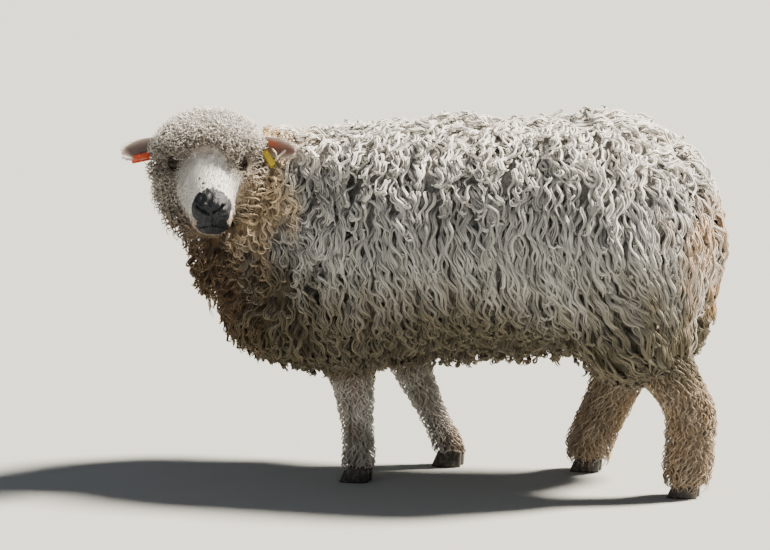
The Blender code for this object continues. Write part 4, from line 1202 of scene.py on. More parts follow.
def make_skin():
    """One skin from the muzzle to the pasterns, under all of the wool."""
    legs = [leg_skin_mesh(line) for line in LEGS.values()]
    body = remeshed(joined("body", [body_skin_mesh(), *legs]), SKIN_VOXEL)
    p = corners(body)
    back = np.maximum(HEAD_SKIN_SINK - depth_in_head(p), 0.0)
    place_corners(body, p - back[:, None] * np.array(AHEAD))
    low = tidy_mesh(body)
    head = head_skin_mesh()
    lids = joined("lids", [lids_mesh(-1), lids_mesh(1)])
    tints, noses, hairs = [], [], []
    for part_mesh, kind in ((low, "body"), (head, "head"), (lids, "lids")):
        p = corners(part_mesh)
        q = to_head(p)
        if kind == "body":
            share = smooth(-p[:, 2], -0.25, -0.17)
            # Painted shade: the skin under the coat is darkened, so that gaps between locks look deep.
            tint = mixed(body_colour(p), leg_colour(p), share) * 0.55
            nose, hair = np.full(len(p), -1.0), np.zeros(len(p))
        elif kind == "head":
            bare = smooth(bare_margin(q), -0.016, -0.004)
            # Painted shade: the skin under the head's wool is darkened; the bare face is not.
            tint = head_colour(q) * (0.50 + 0.50 * bare)[:, None]
            nose, hair = nose_margin(q), bare
        else:
            tint = np.broadcast_to(LID_SKIN, p.shape)
            nose, hair = np.full(len(p), -1.0), np.zeros(len(p))
        tints.append(tint)
        noses.append(nose)
        hairs.append(hair)
    skin = joined("skin", [low, head, lids])
    paint(skin, np.concatenate(tints))
    set_float(skin, "nose", np.concatenate(noses))
    set_float(skin, "short_hair", np.concatenate(hairs))
    flesh = ("barrel", "chest", "neck", "rump", "tail", "head", *LEGS)
    add_piece("skin", moved(skin), skin_material(), flesh)


def make_fleece():
    """The body's locks, in pieces from the chest to the rump, left and right."""
    rng = np.random.default_rng(SEED)
    s = bpy.context.scene.sheep
    tried = points_over(body_skin_mesh(), ROOTS_TRIED["body"], rng)
    roots = settled(tried, SKIN_SHARE, rounds=3)
    normal = outward(roots)
    close = np.maximum(smooth(normal[:, 2], -0.1, 0.5), 0.6 * smooth(-roots[:, 0], 0.08, 0.22))
    close = np.maximum(close, 1.3 * smooth(-roots[:, 0], 0.33, 0.38))
    chosen = []
    for wanted, low, high in FLEECE_SPACINGS:
        for side, wider in ((-1, 1.0), (1, RIGHT_SIDE_WIDER)):
            some = np.flatnonzero((close >= low) & (close < high) & (roots[:, 1] * side >= 0))
            chosen.append(some[spaced(roots[some], wanted * wider * s.lock_spacing)])
    roots = roots[np.concatenate(chosen)]
    hidden = (head_wool_distance(roots) < -HEAD_ROOTS_SINK) | (depth_in_head(roots) < HEAD_ROOTS_SINK)
    roots = roots[(roots[:, 2] > FLEECE_BOTTOM) & ~hidden]
    finish = fleece_material()
    for piece, (low, high) in enumerate(zip(FLEECE_CUTS, FLEECE_CUTS[1:]), 1):
        for side, name in ((-1, "left"), (1, "right")):
            chosen = (roots[:, 0] >= low) & (roots[:, 0] < high) & (np.sign(roots[:, 1]) == side)
            add_wool(f"fleece_{piece}_{name}", body_strands(roots[chosen], rng), finish)


def make_head_wool():
    """Tight curls over the crown, and looser ones down the cheeks and under the jaw."""
    rng = np.random.default_rng(SEED + 1)
    count = ROOTS_TRIED["head"]
    down = rng.uniform(-0.134, 0.084, count)
    angle = rng.uniform(0, 2 * math.pi, count)
    q = skull(down, angle)
    poll = down < -0.120
    middle = np.array((HEAD_BACK, -0.052, 0.0))
    rim = skull(np.full(poll.sum(), HEAD_BACK), angle[poll])
    q[poll] = middle + (rim - middle) * np.sqrt(rng.uniform(size=(poll.sum(), 1)))
    outer = q + wool_direction(q) * head_wool_depth(q)[:, None]
    keep = bare_margin(q) < 0.001
    for side in (-1, 1):
        keep &= rings_from_eye(q, side) > 1.20
    q, outer = q[keep], outer[keep]
    loose = looseness(outer)
    fine = spaced(outer, CURL_SPACING)
    coarse = spaced(outer, LOOSE_CURL_SPACING)
    chosen = np.concatenate([fine[loose[fine] < 0.5], coarse[loose[coarse] >= 0.5]])
    q, outer = q[chosen], outer[chosen]
    finish = head_wool_material()
    crown = q[:, 1] > -0.045
    for name, some in (("head_wool_crown", crown), ("head_wool_cheeks", ~crown)):
        add_wool(name, head_strands(q[some], outer[some], rng), finish)


def make_face_hair():
    """Short hair lying down the bare face, outwards from its middle."""
    rng = np.random.default_rng(SEED + 4)
    count = ROOTS_TRIED["face"]
    q = skull(rng.uniform(-0.03, 0.132, count), rng.uniform(0, 2 * math.pi, count))
    keep = (bare_margin(q) > -0.016) & (nose_margin(q) < -0.0012)
    for side in (-1, 1):
        keep &= rings_from_eye(q, side) > 1.15
    q = q[keep]
    q = q[spaced(q, FACE_HAIR_SPACING)]
    count = len(q)
    normal = unit(q - np.stack([q[:, 0] - 0.01, np.full(count, -0.035), np.zeros(count)], axis=1))
    middle = MUZZLE_SWAY * np.clip(q[:, 0] / 0.13, 0, 1)
    lie = np.stack([np.ones(count), np.full(count, -0.2), 12 * (q[:, 2] - middle)], axis=1)
    lie = laid(lie + rng.normal(0, 0.30, (count, 3)), normal)
    length = rng.uniform(0.006, 0.011, count) * (0.7 + 0.6 * smooth(-bare_margin(q), -0.02, 0.0))
    share = np.linspace(0, 1, SHORT_HAIR_RINGS)
    line = q[:, None] + lie[:, None] * (length[:, None] * share)[..., None]
    rise = -0.0008 + rng.uniform(0.0014, 0.0040, count)[:, None] * share[None, :]
    line = line + normal[:, None] * rise[..., None]
    half = 0.00085 * rng.uniform(0.7, 1.3, (count, 1)) * (1 - 0.7 * share)[None, :]
    colours = head_colour(np.broadcast_to(q[:, None], line.shape))
    colours = colours * rng.uniform(0.78, 1.14, (count, 1, 1))
    normals = np.broadcast_to((normal @ HEAD_FRAME)[:, None], line.shape)
    strands = (from_head(line), normals, half, colours, unwrap_head(q))
    add_wool("face_hair", strands, head_wool_material())


def looseness(q):
    """How loose the curls are at places of the head: 0 on the crown, 1 under the jaw."""
    left, height, _ = seen(q)
    return smooth(-height + 0.25 * left, 0.035, 0.095)


def head_strands(q, outer, rng):
    """Corkscrew curls from the raised skin of the head out to the outside of its wool."""
    s = bpy.context.scene.sheep
    count = len(q)
    direction = unit(outer - q + wool_direction(q) * 0.004)
    depth = np.linalg.norm(outer - q, axis=1)
    loose = looseness(outer)
    start = q + direction * (0.42 * depth)[:, None]
    lean = rng.normal(0, 0.22, (count, 3))
    length = 0.58 * depth * rng.uniform(0.85, 1.08, count) + 0.006
    share = np.linspace(0, 1, HEAD_STRAND_RINGS)[None, :]
    shallow = smooth(depth, 0.0, 0.02)
    downwards = np.array((math.sin(FACE_SLOPE), -math.cos(FACE_SLOPE), 0.0))
    aim = unit(direction + lean * shallow[:, None] + 0.7 * downwards * loose[:, None])
    line = start[:, None] + aim[:, None] * (length[:, None] * share)[..., None]
    first = unit(np.cross(aim, rng.normal(size=(count, 3))))
    second = np.cross(aim, first)
    radius = s.curl_radius * (1 + 1.2 * loose) * rng.uniform(0.7, 1.3, count)
    turns = np.clip(length / (4 * radius), 0.6, 2.0) * rng.uniform(0.8, 1.2, count)
    angle = 2 * math.pi * turns[:, None] * share + rng.uniform(0, 2 * math.pi, (count, 1))
    radius = radius[:, None] * smooth(share, 0.0, 0.35) * shallow[:, None]
    line = line + first[:, None] * (radius * np.cos(angle))[..., None]
    line = line + second[:, None] * (radius * np.sin(angle))[..., None]
    half = 0.00125 * (1 + 0.35 * loose) * rng.uniform(0.8, 1.25, count)
    half = half[:, None] * (1 - 0.6 * smooth(share, 0.6, 1.0))
    half = half * (0.55 + 0.45 * shallow)[:, None]
    places = mixed(np.broadcast_to(q[:, None], line.shape), line, np.full(line.shape[:2], 0.7))
    colours = head_colour(places)
    # Curls darken towards their roots: painted shade deep in the wool, with some soil.
    colours = colours * (0.62 + 0.38 * smooth(share, 0.1, 0.75))[..., None]
    colours = mixed(colours, BLEACHED_TIP_AND_PAINTED_SUN, 0.35 * smooth(share, 0.6, 1.0) * (1 - 0.7 * loose)[:, None])
    colours = colours * rng.uniform(0.80, 1.12, (count, 1, 1))
    normals = np.broadcast_to((first @ HEAD_FRAME)[:, None], line.shape)
    clear = np.minimum(rings_from_eye(line, -1), rings_from_eye(line, 1)).min(axis=1) > 1.05
    clear &= ~hides_right_eye(line).any(axis=1) & ~over_tag(from_head(line)).any(axis=1)
    strands = (from_head(line), normals, half, colours, unwrap_head(q))
    return [values[clear] for values in strands]


def leg_strands(number, line, spacing, length, rng):
    """Short tufts down one leg, laid over each other."""
    last = len(line) - 1
    count = ROOTS_TRIED["leg"]
    at = rng.uniform(0.35, last, count)
    turn = rng.uniform(0, 2 * math.pi, count)
    middle, radius = leg_at(line, at)
    out = np.stack([np.cos(turn), np.sin(turn) * LEG_FLATNESS, np.zeros(count)], axis=1)
    roots = middle + out * (radius - LEG_SKIN_SINK)[:, None]
    kept = spaced(roots, spacing)
    kept = kept[roots[kept, 2] > 0.040]
    at, turn, roots = at[kept], turn[kept], roots[kept]
    count = len(kept)
    length = length * rng.uniform(0.75, 1.2, count)
    share = np.linspace(0, 1, LEG_STRAND_RINGS)
    there, _ = leg_at(line, np.minimum(at + 0.05, last))
    back, _ = leg_at(line, np.minimum(at + 0.05, last) - 0.05)
    speed = np.linalg.norm(there - back, axis=1) / 0.05
    lift = 0.0005 + 0.0035 * rng.uniform(0.0, 1.0, count) ** 2
    swirl = 0.30 * rng.normal(size=count) + 0.5 * ripple(roots, 0.04, 29)
    phase = rng.uniform(0, 2 * math.pi, count)
    places = np.empty((count, LEG_STRAND_RINGS, 3))
    normals = np.empty((count, LEG_STRAND_RINGS, 3))
    for k, t in enumerate(share):
        row = at + length * t / speed
        middle, radius = leg_at(line, np.minimum(row, last))
        past = np.maximum(row - last, 0.0) * speed
        rise = -LEG_SKIN_SINK - 0.004 + (LEG_SKIN_SINK + 0.004 + lift) * smooth(t, 0.0, 0.7)
        rise = rise - 0.0055 * smooth(t, 0.6, 1.0)
        a = turn + swirl * t * length / radius
        out = np.stack([np.cos(a), np.sin(a) * LEG_FLATNESS, np.zeros(count)], axis=1)
        wave = 0.0022 * np.sin(2 * math.pi * length * t / 0.015 + phase) * min(3 * t, 1.0)
        aside = np.stack([-np.sin(a), np.cos(a), np.zeros(count)], axis=1)
        places[:, k] = middle + out * (radius + rise)[:, None] + aside * wave[:, None]
        places[:, k, 2] -= past
        normals[:, k] = unit(out)
    places[..., 2] = np.maximum(places[..., 2], 0.012)
    half = 0.0016 * rng.uniform(0.8, 1.25, (count, 1)) * (1 - 0.65 * smooth(share, 0.5, 1.0))[None, :]
    colours = leg_colour(places)
    high = smooth(places[..., 2], 0.18, 0.25)
    colours = mixed(colours, body_colour(places), high)
    # Tufts darken towards their roots: painted shade between them, with some soil.
    colours = colours * (0.62 + 0.38 * smooth(share, 0.05, 0.7))[None, :, None]
    colours = colours * rng.uniform(0.80, 1.15, (count, 1, 1))
    around = 0.01 + 0.48 * (turn / (2 * math.pi)) + 0.5 * number
    bake = np.stack([0.02 + 0.96 * at / last, around], axis=1)
    return places, normals, half, colours, bake


def make_leg_wool():
    """The woolly legs, fore and hind."""
    rng = np.random.default_rng(SEED + 2)
    finish = leg_wool_material()
    for name, spacing, length in LEG_TUFTS:
        sets = []
        for number, side in enumerate(("left", "right")):
            sets.append(leg_strands(number, LEGS[f"{name}_{side}"], spacing, length, rng))
        merged = [np.concatenate([one[i] for one in sets]) for i in range(5)]
        add_wool(f"{name}_wool", merged, finish)


def ear_place(side, share):
    """A place along the ear's middle line, the ear's directions, and how deep its cup is there."""
    down, up, left = EAR_ROOT
    root = Vector(from_head((down, up, side * left)))
    out = (TO_LEFT * side - UP * EAR_DROOP[side] + AHEAD * EAR_FORWARD).normalized()
    face = (AHEAD - out * AHEAD.dot(out)).normalized()
    rise = out.cross(face)
    if rise.z < 0:
        rise = -rise
    centre = root + out * EAR_LENGTH * share - face * EAR_BOW * math.sin(math.pi * share)
    return centre, out, face, rise, ear_width(share) * EAR_CURL * (1 - 0.3 * share)


def ear_width(share):
    """Half the width of the ear at a share of its length."""
    width = EAR_HALF_WIDTH * (0.50 + 0.50 * math.sin(math.pi * min(share * 1.35, 1.0) / 2))
    past = max(share - 0.45, 0.0) / 0.55
    return width * math.sqrt(1 - 0.985 * past**2)


def ear_mesh(side):
    """An ear as a loft of fine crescents, with a soft rolled rim."""
    rings = []
    colours = []
    rings_count, half_points = 36, 17
    for i in range(rings_count):
        share = 1 - (1 - i / (rings_count - 1)) ** 1.4
        centre, _, face, rise, wall = ear_place(side, share)
        width = ear_width(share)
        cup = min(max((share - 0.12) / 0.25, 0.0), 1.0)
        outer, inner, outer_tint, inner_tint = [], [], [], []
        for k in range(half_points):
            turn = math.pi * (k / (half_points - 1) - 0.5)
            high = rise * width * math.sin(turn)
            back = wall * math.cos(turn)
            thick = EAR_THICKNESS * (0.30 + 0.55 * math.cos(turn)) * (1 - 0.4 * share)
            solid = width * EAR_CURL * math.cos(turn) + EAR_THICKNESS / 2
            front = solid + (thick - back - solid) * cup
            outer.append(centre + high - face * back)
            inner.append(centre + high * 0.95 + face * front)
            rim = abs(math.sin(turn)) ** 3
            # Painted glow of sunlight through the left ear; the right ear gets none.
            glow = math.exp(-(((share - 0.50) / 0.16) ** 2) - ((math.sin(turn) - 0.30) / 0.35) ** 2)
            outer_tint.append(EAR_SKIN)
            tone = EAR_INSIDE[side] + (EAR_SKIN - EAR_INSIDE[side]) * rim
            inner_tint.append(tone + (EAR_GLOW - tone) * glow * (0.85 if side > 0 else 0.0))
        rings.append(outer + inner[::-1])
        colours += outer_tint + inner_tint[::-1]
    mesh = grid_mesh("ear", rings)
    colours += [EAR_INSIDE[side], EAR_SKIN]
    paint(mesh, np.array(colours))
    return mesh


def make_ears():
    """Both ears, with short hairs along their rims."""
    rng = np.random.default_rng(SEED + 3)
    for side, name in ((1, "left"), (-1, "right")):
        ear = moved(ear_mesh(side))
        add_piece(f"ear_{name}_skin", ear, ear_material(), (f"ear_{name}",))
        add_wool(f"ear_{name}_hair", ear_hairs(side, rng), ear_hair_material())


def ear_hairs(side, rng):
    """Short hairs over the ear's back and rim, pointing to its tip."""
    count, rings = EAR_HAIRS, SHORT_HAIR_RINGS
    places = np.empty((count, rings, 3))
    normals = np.empty((count, rings, 3))
    bake = np.empty((count, 2))
    for n in range(count):
        share = rng.uniform(0.10, 0.97)
        turn = math.pi * (rng.beta(0.55, 0.55) - 0.5)
        length = rng.uniform(0.004, 0.009)
        for k in range(rings):
            t = k / (rings - 1)
            centre, out, face, rise, wall = ear_place(side, min(share + length * t / EAR_LENGTH, 1.0))
            width = ear_width(share)
            away = rise * math.sin(turn) - face * math.cos(turn) * EAR_CURL
            away.normalize()
            base = centre + rise * width * math.sin(turn) - face * wall * math.cos(turn)
            places[n, k] = base + away * (0.0022 * t**1.3 - 0.0006) + out * 0.002 * t
            normals[n, k] = away
        bake[n] = (0.02 + 0.96 * share, turn / math.pi + 0.5)
    share = np.linspace(0, 1, rings)
    half = np.full((count, 1), 0.00055) * (1 - 0.75 * share)[None, :] * rng.uniform(0.8, 1.3, (count, 1))
    colours = np.broadcast_to(EAR_SKIN * 1.12, places.shape) * rng.uniform(0.8, 1.15, (count, 1, 1))
    return places, normals, half, colours, bake


def make_eyes():
    """Both eyes: a ball with the cornea's bulge, and the map that its iris is drawn on."""
    for side, name in ((1, "left"), (-1, "right")):
        mesh = moved(eye_mesh(*eye_frame(side)))
        add_piece(f"eyeball_{name}", mesh, eye_material(), (f"eye_{name}",))


def eye_mesh(centre, look, long, high):
    """An eyeball whose pole is where it looks, with its iris map."""
    rings = []
    spots = []
    for i in range(1, 32):
        lean = math.pi * i / 32
        ring, spot = [], []
        for k in range(48):
            turn = 2 * math.pi * k / 48
            flat = Vector((math.sin(lean) * math.cos(turn), math.sin(lean) * math.sin(turn)))
            ahead = math.cos(lean)
            bulge = 1 + 0.05 * max(0.0, (ahead - 0.78) / 0.22) ** 0.9
            place = long * flat.x + high * flat.y + look * ahead
            ring.append(centre + place * EYE_RADIUS * bulge)
            spot.append((flat.x, flat.y) if ahead > 0 else (flat.x * 3 + 1, flat.y * 3 + 1))
        rings.append(ring)
        spots += spot
    mesh = grid_mesh("eyeball", rings)
    spots += [(0.0, 0.0), (2.0, 2.0)]
    spots = np.array(spots)
    loops = np.empty(len(mesh.loops), np.int32)
    mesh.loops.foreach_get("vertex_index", loops)
    layer = mesh.uv_layers.new(name="iris")
    layer.data.foreach_set("uv", spots[loops].astype(np.float32).ravel())
    return mesh


def tag_place(side):
    """Where a tag's stud is, its directions, and the middle of its plates."""
    share, turn, tilt, past = TAG_HANG[side]
    centre, out, face, rise, wall = ear_place(side, share)
    width = ear_width(share)
    stud = centre + rise * width * math.sin(turn) - face * wall * math.cos(turn)
    across = (rise * width * math.cos(turn) + face * wall * math.sin(turn)).normalized()
    through = (face - across * face.dot(across)).normalized()
    along = out * math.cos(tilt) - across * math.sin(tilt)
    up = out * math.sin(tilt) + across * math.cos(tilt)
    return stud, along, through, up, stud + along * past - across * TAG_LOW


def tag_mesh(side):
    """An ear tag of two rounded plates and the stud that holds them."""
    stud, along, through, up, middle = tag_place(side)
    shape = bmesh.new()
    for offset in (TAG_REACH, -TAG_REACH):
        turned = Matrix((along * TAG_LENGTH, through * TAG_THICKNESS, up * TAG_HEIGHT))
        plate = turned.transposed().to_4x4()
        plate.translation = middle + through * offset
        bmesh.ops.create_cube(shape, size=1.0, matrix=plate)
    upright = [
        edge
        for edge in shape.edges
        if abs((edge.verts[0].co - edge.verts[1].co).normalized().dot(through)) > 0.9
    ]
    bmesh.ops.bevel(shape, geom=upright, offset=0.0030, segments=5, affect="EDGES", profile=0.5)
    rim = [edge for edge in shape.edges if edge.calc_face_angle(0.0) > math.radians(40)]
    bmesh.ops.bevel(shape, geom=rim, offset=0.0004, segments=2, affect="EDGES", profile=0.5)
    turned = Matrix((up, along, through)).transposed().to_4x4()
    turned.translation = stud
    bmesh.ops.create_cone(
        shape,
        cap_ends=True,
        segments=24,
        radius1=0.0027,
        radius2=0.0027,
        depth=TAG_REACH * 2 + 0.0034,
        matrix=turned,
    )
    return tidy_mesh(mesh_of(shape, "tag"))


def make_tags():
    """The two ear tags, blank."""
    for side, name, slot, colour in (
        (1, "left", "tag_yellow", "#dcc53a"),
        (-1, "right", "tag_orange", "#d9532a"),
    ):
        tag = moved(tag_mesh(side))
        add_piece(f"tag_{name}", tag, tag_material(name, colour), (f"ear_tag_{name}",))


def claw_mesh(foot, offset):
    """One claw: flat sole, sloping toe, rounded wall."""
    x, y = foot
    rings = []
    for share in np.concatenate([[0.0, 0.03], np.linspace(0.1, 0.9, 9), [0.96, 1.0]]):
        toe = x - CLAW_LENGTH * (0.62 - 0.24 * share)
        heel = x + CLAW_LENGTH * (0.38 + 0.04 * share)
        inset = 0.0010 if share in (0.0, 1.0) else 0.0
        half = CLAW_WIDTH / 2 * (1 - 0.12 * share) - inset
        ring = []
        for k in range(40):
            turn = 2 * math.pi * k / 40
            along = (toe + heel) / 2 + ((heel - toe) / 2 - inset) * math.cos(turn)
            aside = half * math.copysign(abs(math.sin(turn)) ** 0.7, math.sin(turn))
            ring.append(Vector((along, y + offset + aside, share * CLAW_HEIGHT)))
        rings.append(ring)
    return grid_mesh("claw", rings)


def make_hooves():
    """The cloven hooves: two claws to a foot."""
    for name, line in LEGS.items():
        foot = line[-1][0][:2]
        pair = [claw_mesh(foot, CLAW_SPREAD), claw_mesh(foot, -CLAW_SPREAD)]
        nodes = (f"claw_{name}_inner", f"claw_{name}_outer")
        mesh = moved(tidy_mesh(joined(f"hoof_{name}", pair)))
        add_piece(f"hoof_{name}", mesh, hoof_material(), nodes)


def add_node(tree, kind, inputs=None, **settings):
    """A node with its settings, and its inputs as values or as sockets to link."""
    node = tree.nodes.new(kind)
    for name, value in settings.items():
        setattr(node, name, value)
    for name, value in (inputs or {}).items():
        if isinstance(value, bpy.types.NodeSocket):
            tree.links.new(value, node.inputs[name])
        else:
            node.inputs[name].default_value = value
    return node


def new_material(name, **values):
    """A material with one Principled shader set to these values. Gives it, its tree and its shader."""
    made = bpy.data.materials.new(name)
    made.use_nodes = True
    shader = made.node_tree.nodes["Principled BSDF"]
    for socket, value in values.items():
        shader.inputs[socket.replace("_", " ").title().replace("Ior", "IOR")].default_value = value
    return made, made.node_tree, shader


def per_metre(size_mm):
    """The scale of a pattern whose features are this many millimetres across."""
    return 1000.0 / size_mm


def places_of(tree):
    """Where the point lies on its object, in metres."""
    return add_node(tree, "ShaderNodeTexCoord").outputs["Object"]


def stored(tree, name, output="Fac"):
    """A value stored for each vertex."""
    return add_node(tree, "ShaderNodeAttribute", attribute_name=name).outputs[output]


def noise(tree, place, scale, detail, distortion=0.0):
    """A noise pattern of 0 to 1."""
    inputs = {"Vector": place, "Scale": scale, "Detail": detail, "Distortion": distortion}
    return add_node(tree, "ShaderNodeTexNoise", inputs).outputs["Fac"]


def ranged(tree, value, low, high, from_low=0.0, from_high=1.0):
    """A value taken from one range to another and held within it."""
    inputs = {"Value": value, "From Min": from_low, "From Max": from_high, "To Min": low, "To Max": high}
    return add_node(tree, "ShaderNodeMapRange", inputs).outputs["Result"]


def number(tree, operation, *terms):
    """The result of an operation on numbers."""
    return add_node(tree, "ShaderNodeMath", dict(enumerate(terms)), operation=operation).outputs["Value"]


def vector(tree, operation, *terms, output="Vector"):
    """The result of an operation on vectors."""
    made = add_node(tree, "ShaderNodeVectorMath", dict(enumerate(terms)), operation=operation)
    return made.outputs[output]


def scaled(tree, colour, share):
    """A colour made this many times as bright."""
    inputs = {0: colour, "Scale": share}
    return add_node(tree, "ShaderNodeVectorMath", inputs, operation="SCALE").outputs["Vector"]


def between(tree, share, first, second):
    """A number between two."""
    return add_node(tree, "ShaderNodeMix", {"Factor": share, "A": first, "B": second}).outputs["Result"]


def blended(tree, share, first, second):
    """A colour between two."""
    inputs = {"Factor": share, 6: first, 7: second}
    return add_node(tree, "ShaderNodeMix", inputs, data_type="RGBA").outputs[2]


def finish_shader(tree, shader, colour, height=None, distance=0.0, strength=1.0):
    """Gives a shader its colour and, where there is one, its relief."""
    tree.links.new(colour, shader.inputs["Base Color"])
    if height is not None:
        inputs = {"Height": height, "Distance": distance, "Strength": strength}
        bump = add_node(tree, "ShaderNodeBump", inputs)
        tree.links.new(bump.outputs["Normal"], shader.inputs["Normal"])


def wool_finish(name, fibres, soil_mm, roughness):
    """Wool: dull, softly glowing strands of fine fibres, with soil in patches."""
    if name in bpy.data.materials:
        return bpy.data.materials[name]
    made, tree, shader = new_material(
        name,
        roughness=roughness,
        ior=1.45,
        sheen_weight=0.25,
        sheen_roughness=0.5,
        specular_ior_level=0.35,
    )
    soiled = ranged(tree, noise(tree, places_of(tree), per_metre(soil_mm), 4.0), 0.80, 1.16)
    along = add_node(tree, "ShaderNodeUVMap", uv_map="fibre").outputs["UV"]
    drawn = vector(tree, "MULTIPLY", along, (fibres, 1.0 / FIBRE_LENGTH_MM, 0.0))
    fibre = noise(tree, drawn, 1.0, 3.0)
    striped = ranged(tree, fibre, 0.62, 1.18, 0.3, 0.7)
    share = number(tree, "MULTIPLY", soiled, striped)
    colour = scaled(tree, stored(tree, "tint", "Color"), share)
    finish_shader(tree, shader, colour, fibre, 0.0012, 0.9)
    return made


def fleece_material():
    """Longwool staple, grown and weathered: lustrous strands of many fibres, soil in 60 mm patches."""
    return wool_finish("longwool_fleece_weathered", 2.2, 60.0, 0.66)


def head_wool_material():
    """Short curly face wool, grown: finer and duller than the fleece."""
    return wool_finish("face_wool_curled", 1.5, 30.0, 0.80)


def leg_wool_material():
    """Coarse leg wool, grown and muddied."""
    return wool_finish("leg_wool_muddied", 2.0, 25.0, 0.85)


def ear_hair_material():
    """Fine ear hair, grown."""
    return wool_finish("ear_hair_fine", 1.0, 15.0, 0.70)


def skin_material():
    """Sheepskin: dull under the wool, short white hair on the face, wet pebbled leather on the nose."""
    made, tree, shader = new_material("sheepskin_grown", specular_ior_level=0.4)
    place = places_of(tree)
    dark = (*NOSE_SKIN, 1.0)
    hair = stored(tree, "short_hair")
    ragged = noise(tree, place, per_metre(4.0), 2.0)
    edge = number(tree, "ADD", stored(tree, "nose"), ranged(tree, ragged, -0.0016, 0.0020))
    on_nose = ranged(tree, edge, 0.0, 1.0, -0.0005, 0.0007)
    colour = blended(tree, on_nose, stored(tree, "tint", "Color"), dark)
    colour = blended(tree, spot_mask(tree, place, ragged), colour, dark)
    mottle = ranged(tree, noise(tree, place, per_metre(9.0), 5.0), 0.80, 1.14)
    colour = scaled(tree, colour, mottle)

    # Streaks of short wool where the skin lies under the coat.
    drawn = vector(tree, "MULTIPLY", place, (1.0, 1.0, 0.12))
    strands = noise(tree, drawn, per_metre(2.6), 4.0)
    streaks = ranged(tree, strands, 0.55, 1.25, 0.35, 0.65)
    under_wool = number(tree, "LESS_THAN", hair, 0.5)
    colour = scaled(tree, colour, between(tree, under_wool, 1.0, streaks))

    tree.links.new(ranged(tree, on_nose, 0.82, 0.55), shader.inputs["Roughness"])
    pebbles = add_node(tree, "ShaderNodeTexVoronoi", {"Vector": place, "Scale": per_metre(2.2)})
    height = between(tree, on_nose, strands, pebbles.outputs["Distance"])
    finish_shader(tree, shader, colour, height, 0.0012, ranged(tree, hair, 1.0, 0.7))
    return made


def spot_mask(tree, place, jag):
    """A mask of the face's dark spots, by distance from each spot's place on the head."""
    total = None
    for left, height, radius in FACE_SPOTS:
        near = tuple(spot_on_face(left, height) + SHIFT)
        apart = vector(tree, "DISTANCE", place, near, output="Value")
        wander = number(tree, "MULTIPLY_ADD", jag, radius * 1.1, apart)
        mask = ranged(tree, wander, 1.0, 0.0, radius * 1.25, radius * 1.75)
        total = mask if total is None else number(tree, "MAXIMUM", total, mask)
    return total


def spot_on_face(left, height):
    """The place on the bare face that is seen this far to the left and above the eyes."""
    down = np.linspace(-0.03, 0.12, 200)
    angle = np.linspace(0.05, math.pi - 0.05, 240)
    q = skull(down[:, None], angle[None, :])
    side, up, _ = seen(q)
    apart = np.hypot(side - left, up - height)
    best = np.unravel_index(np.argmin(apart), apart.shape)
    return from_head(q[best])


def ear_material():
    """Ear skin with short hair: thin, pinkish inside, letting some light through."""
    name = "ear_skin_downy"
    if name in bpy.data.materials:
        return bpy.data.materials[name]
    made, tree, shader = new_material(
        name, roughness=0.75, subsurface_weight=0.15, subsurface_radius=(0.004, 0.0015, 0.001)
    )
    place = places_of(tree)
    mottle = ranged(tree, noise(tree, place, per_metre(5.0), 5.0), 0.80, 1.15)
    colour = scaled(tree, stored(tree, "tint", "Color"), mottle)
    finish_shader(tree, shader, colour, noise(tree, place, per_metre(0.8), 4.0), 0.0005, 0.7)
    return made


def eye_material():
    """A living eye: wet cornea over a dark brown iris with a wide, level pupil."""
    name = "eye_wet"
    if name in bpy.data.materials:
        return bpy.data.materials[name]
    made, tree, shader = new_material(name, roughness=0.06, ior=1.376, specular_ior_level=0.3)
    spot = add_node(tree, "ShaderNodeUVMap", uv_map="iris").outputs["UV"]
    stretched = vector(tree, "MULTIPLY", spot, (2.3, 5.2, 0.0))
    in_pupil = ranged(tree, vector(tree, "LENGTH", stretched, output="Value"), 1.0, 0.0, 0.92, 1.05)
    in_iris = ranged(tree, vector(tree, "LENGTH", spot, output="Value"), 1.0, 0.0, 0.66, 0.74)
    fibres = noise(tree, spot, 9.0, 6.0, distortion=1.5)
    iris = blended(tree, fibres, linear("#0e0906", 1.0), linear("#2b1a0d", 1.0))
    ball = blended(tree, in_iris, linear("#16110e", 1.0), iris)
    finish_shader(tree, shader, blended(tree, in_pupil, ball, linear("#050506", 1.0)))
    return made


def tag_material(name, colour):
    """Polyurethane, injection moulded: satin, scuffed and a little dusty."""
    made, tree, shader = new_material(f"polyurethane_moulded_{name}", roughness=0.45, ior=1.5)
    place = places_of(tree)
    dusty = ranged(tree, noise(tree, place, per_metre(3.0), 5.0), 0.0, 0.45, 0.45, 0.80)
    tone = blended(tree, dusty, linear(colour, 1.0), linear("#8c8374", 1.0))
    finish_shader(tree, shader, tone, noise(tree, place, per_metre(0.7), 3.0), 0.0002, 0.5)
    return made


def hoof_material():
    """Hoof horn, grown and worn: dark keratin with growth rings and dried mud."""
    name = "hoof_horn_worn"
    if name in bpy.data.materials:
        return bpy.data.materials[name]
    made, tree, shader = new_material(name, roughness=0.5, ior=1.55)
    place = places_of(tree)
    muddy = ranged(tree, noise(tree, place, per_metre(7.0), 6.0), 0.0, 0.75, 0.48, 0.66)
    tone = blended(tree, muddy, linear("#25211e", 1.0), linear("#6b5d4a", 1.0))
    # The wave pattern has about three bands to its unit, so growth rings lie 25 mm apart.
    inputs = {"Vector": place, "Scale": per_metre(80.0), "Distortion": 1.2, "Detail": 2.0}
    rings = add_node(tree, "ShaderNodeTexWave", inputs, bands_direction="Z")
    finish_shader(tree, shader, tone, rings.outputs["Fac"], 0.0006, 0.8)
    return made


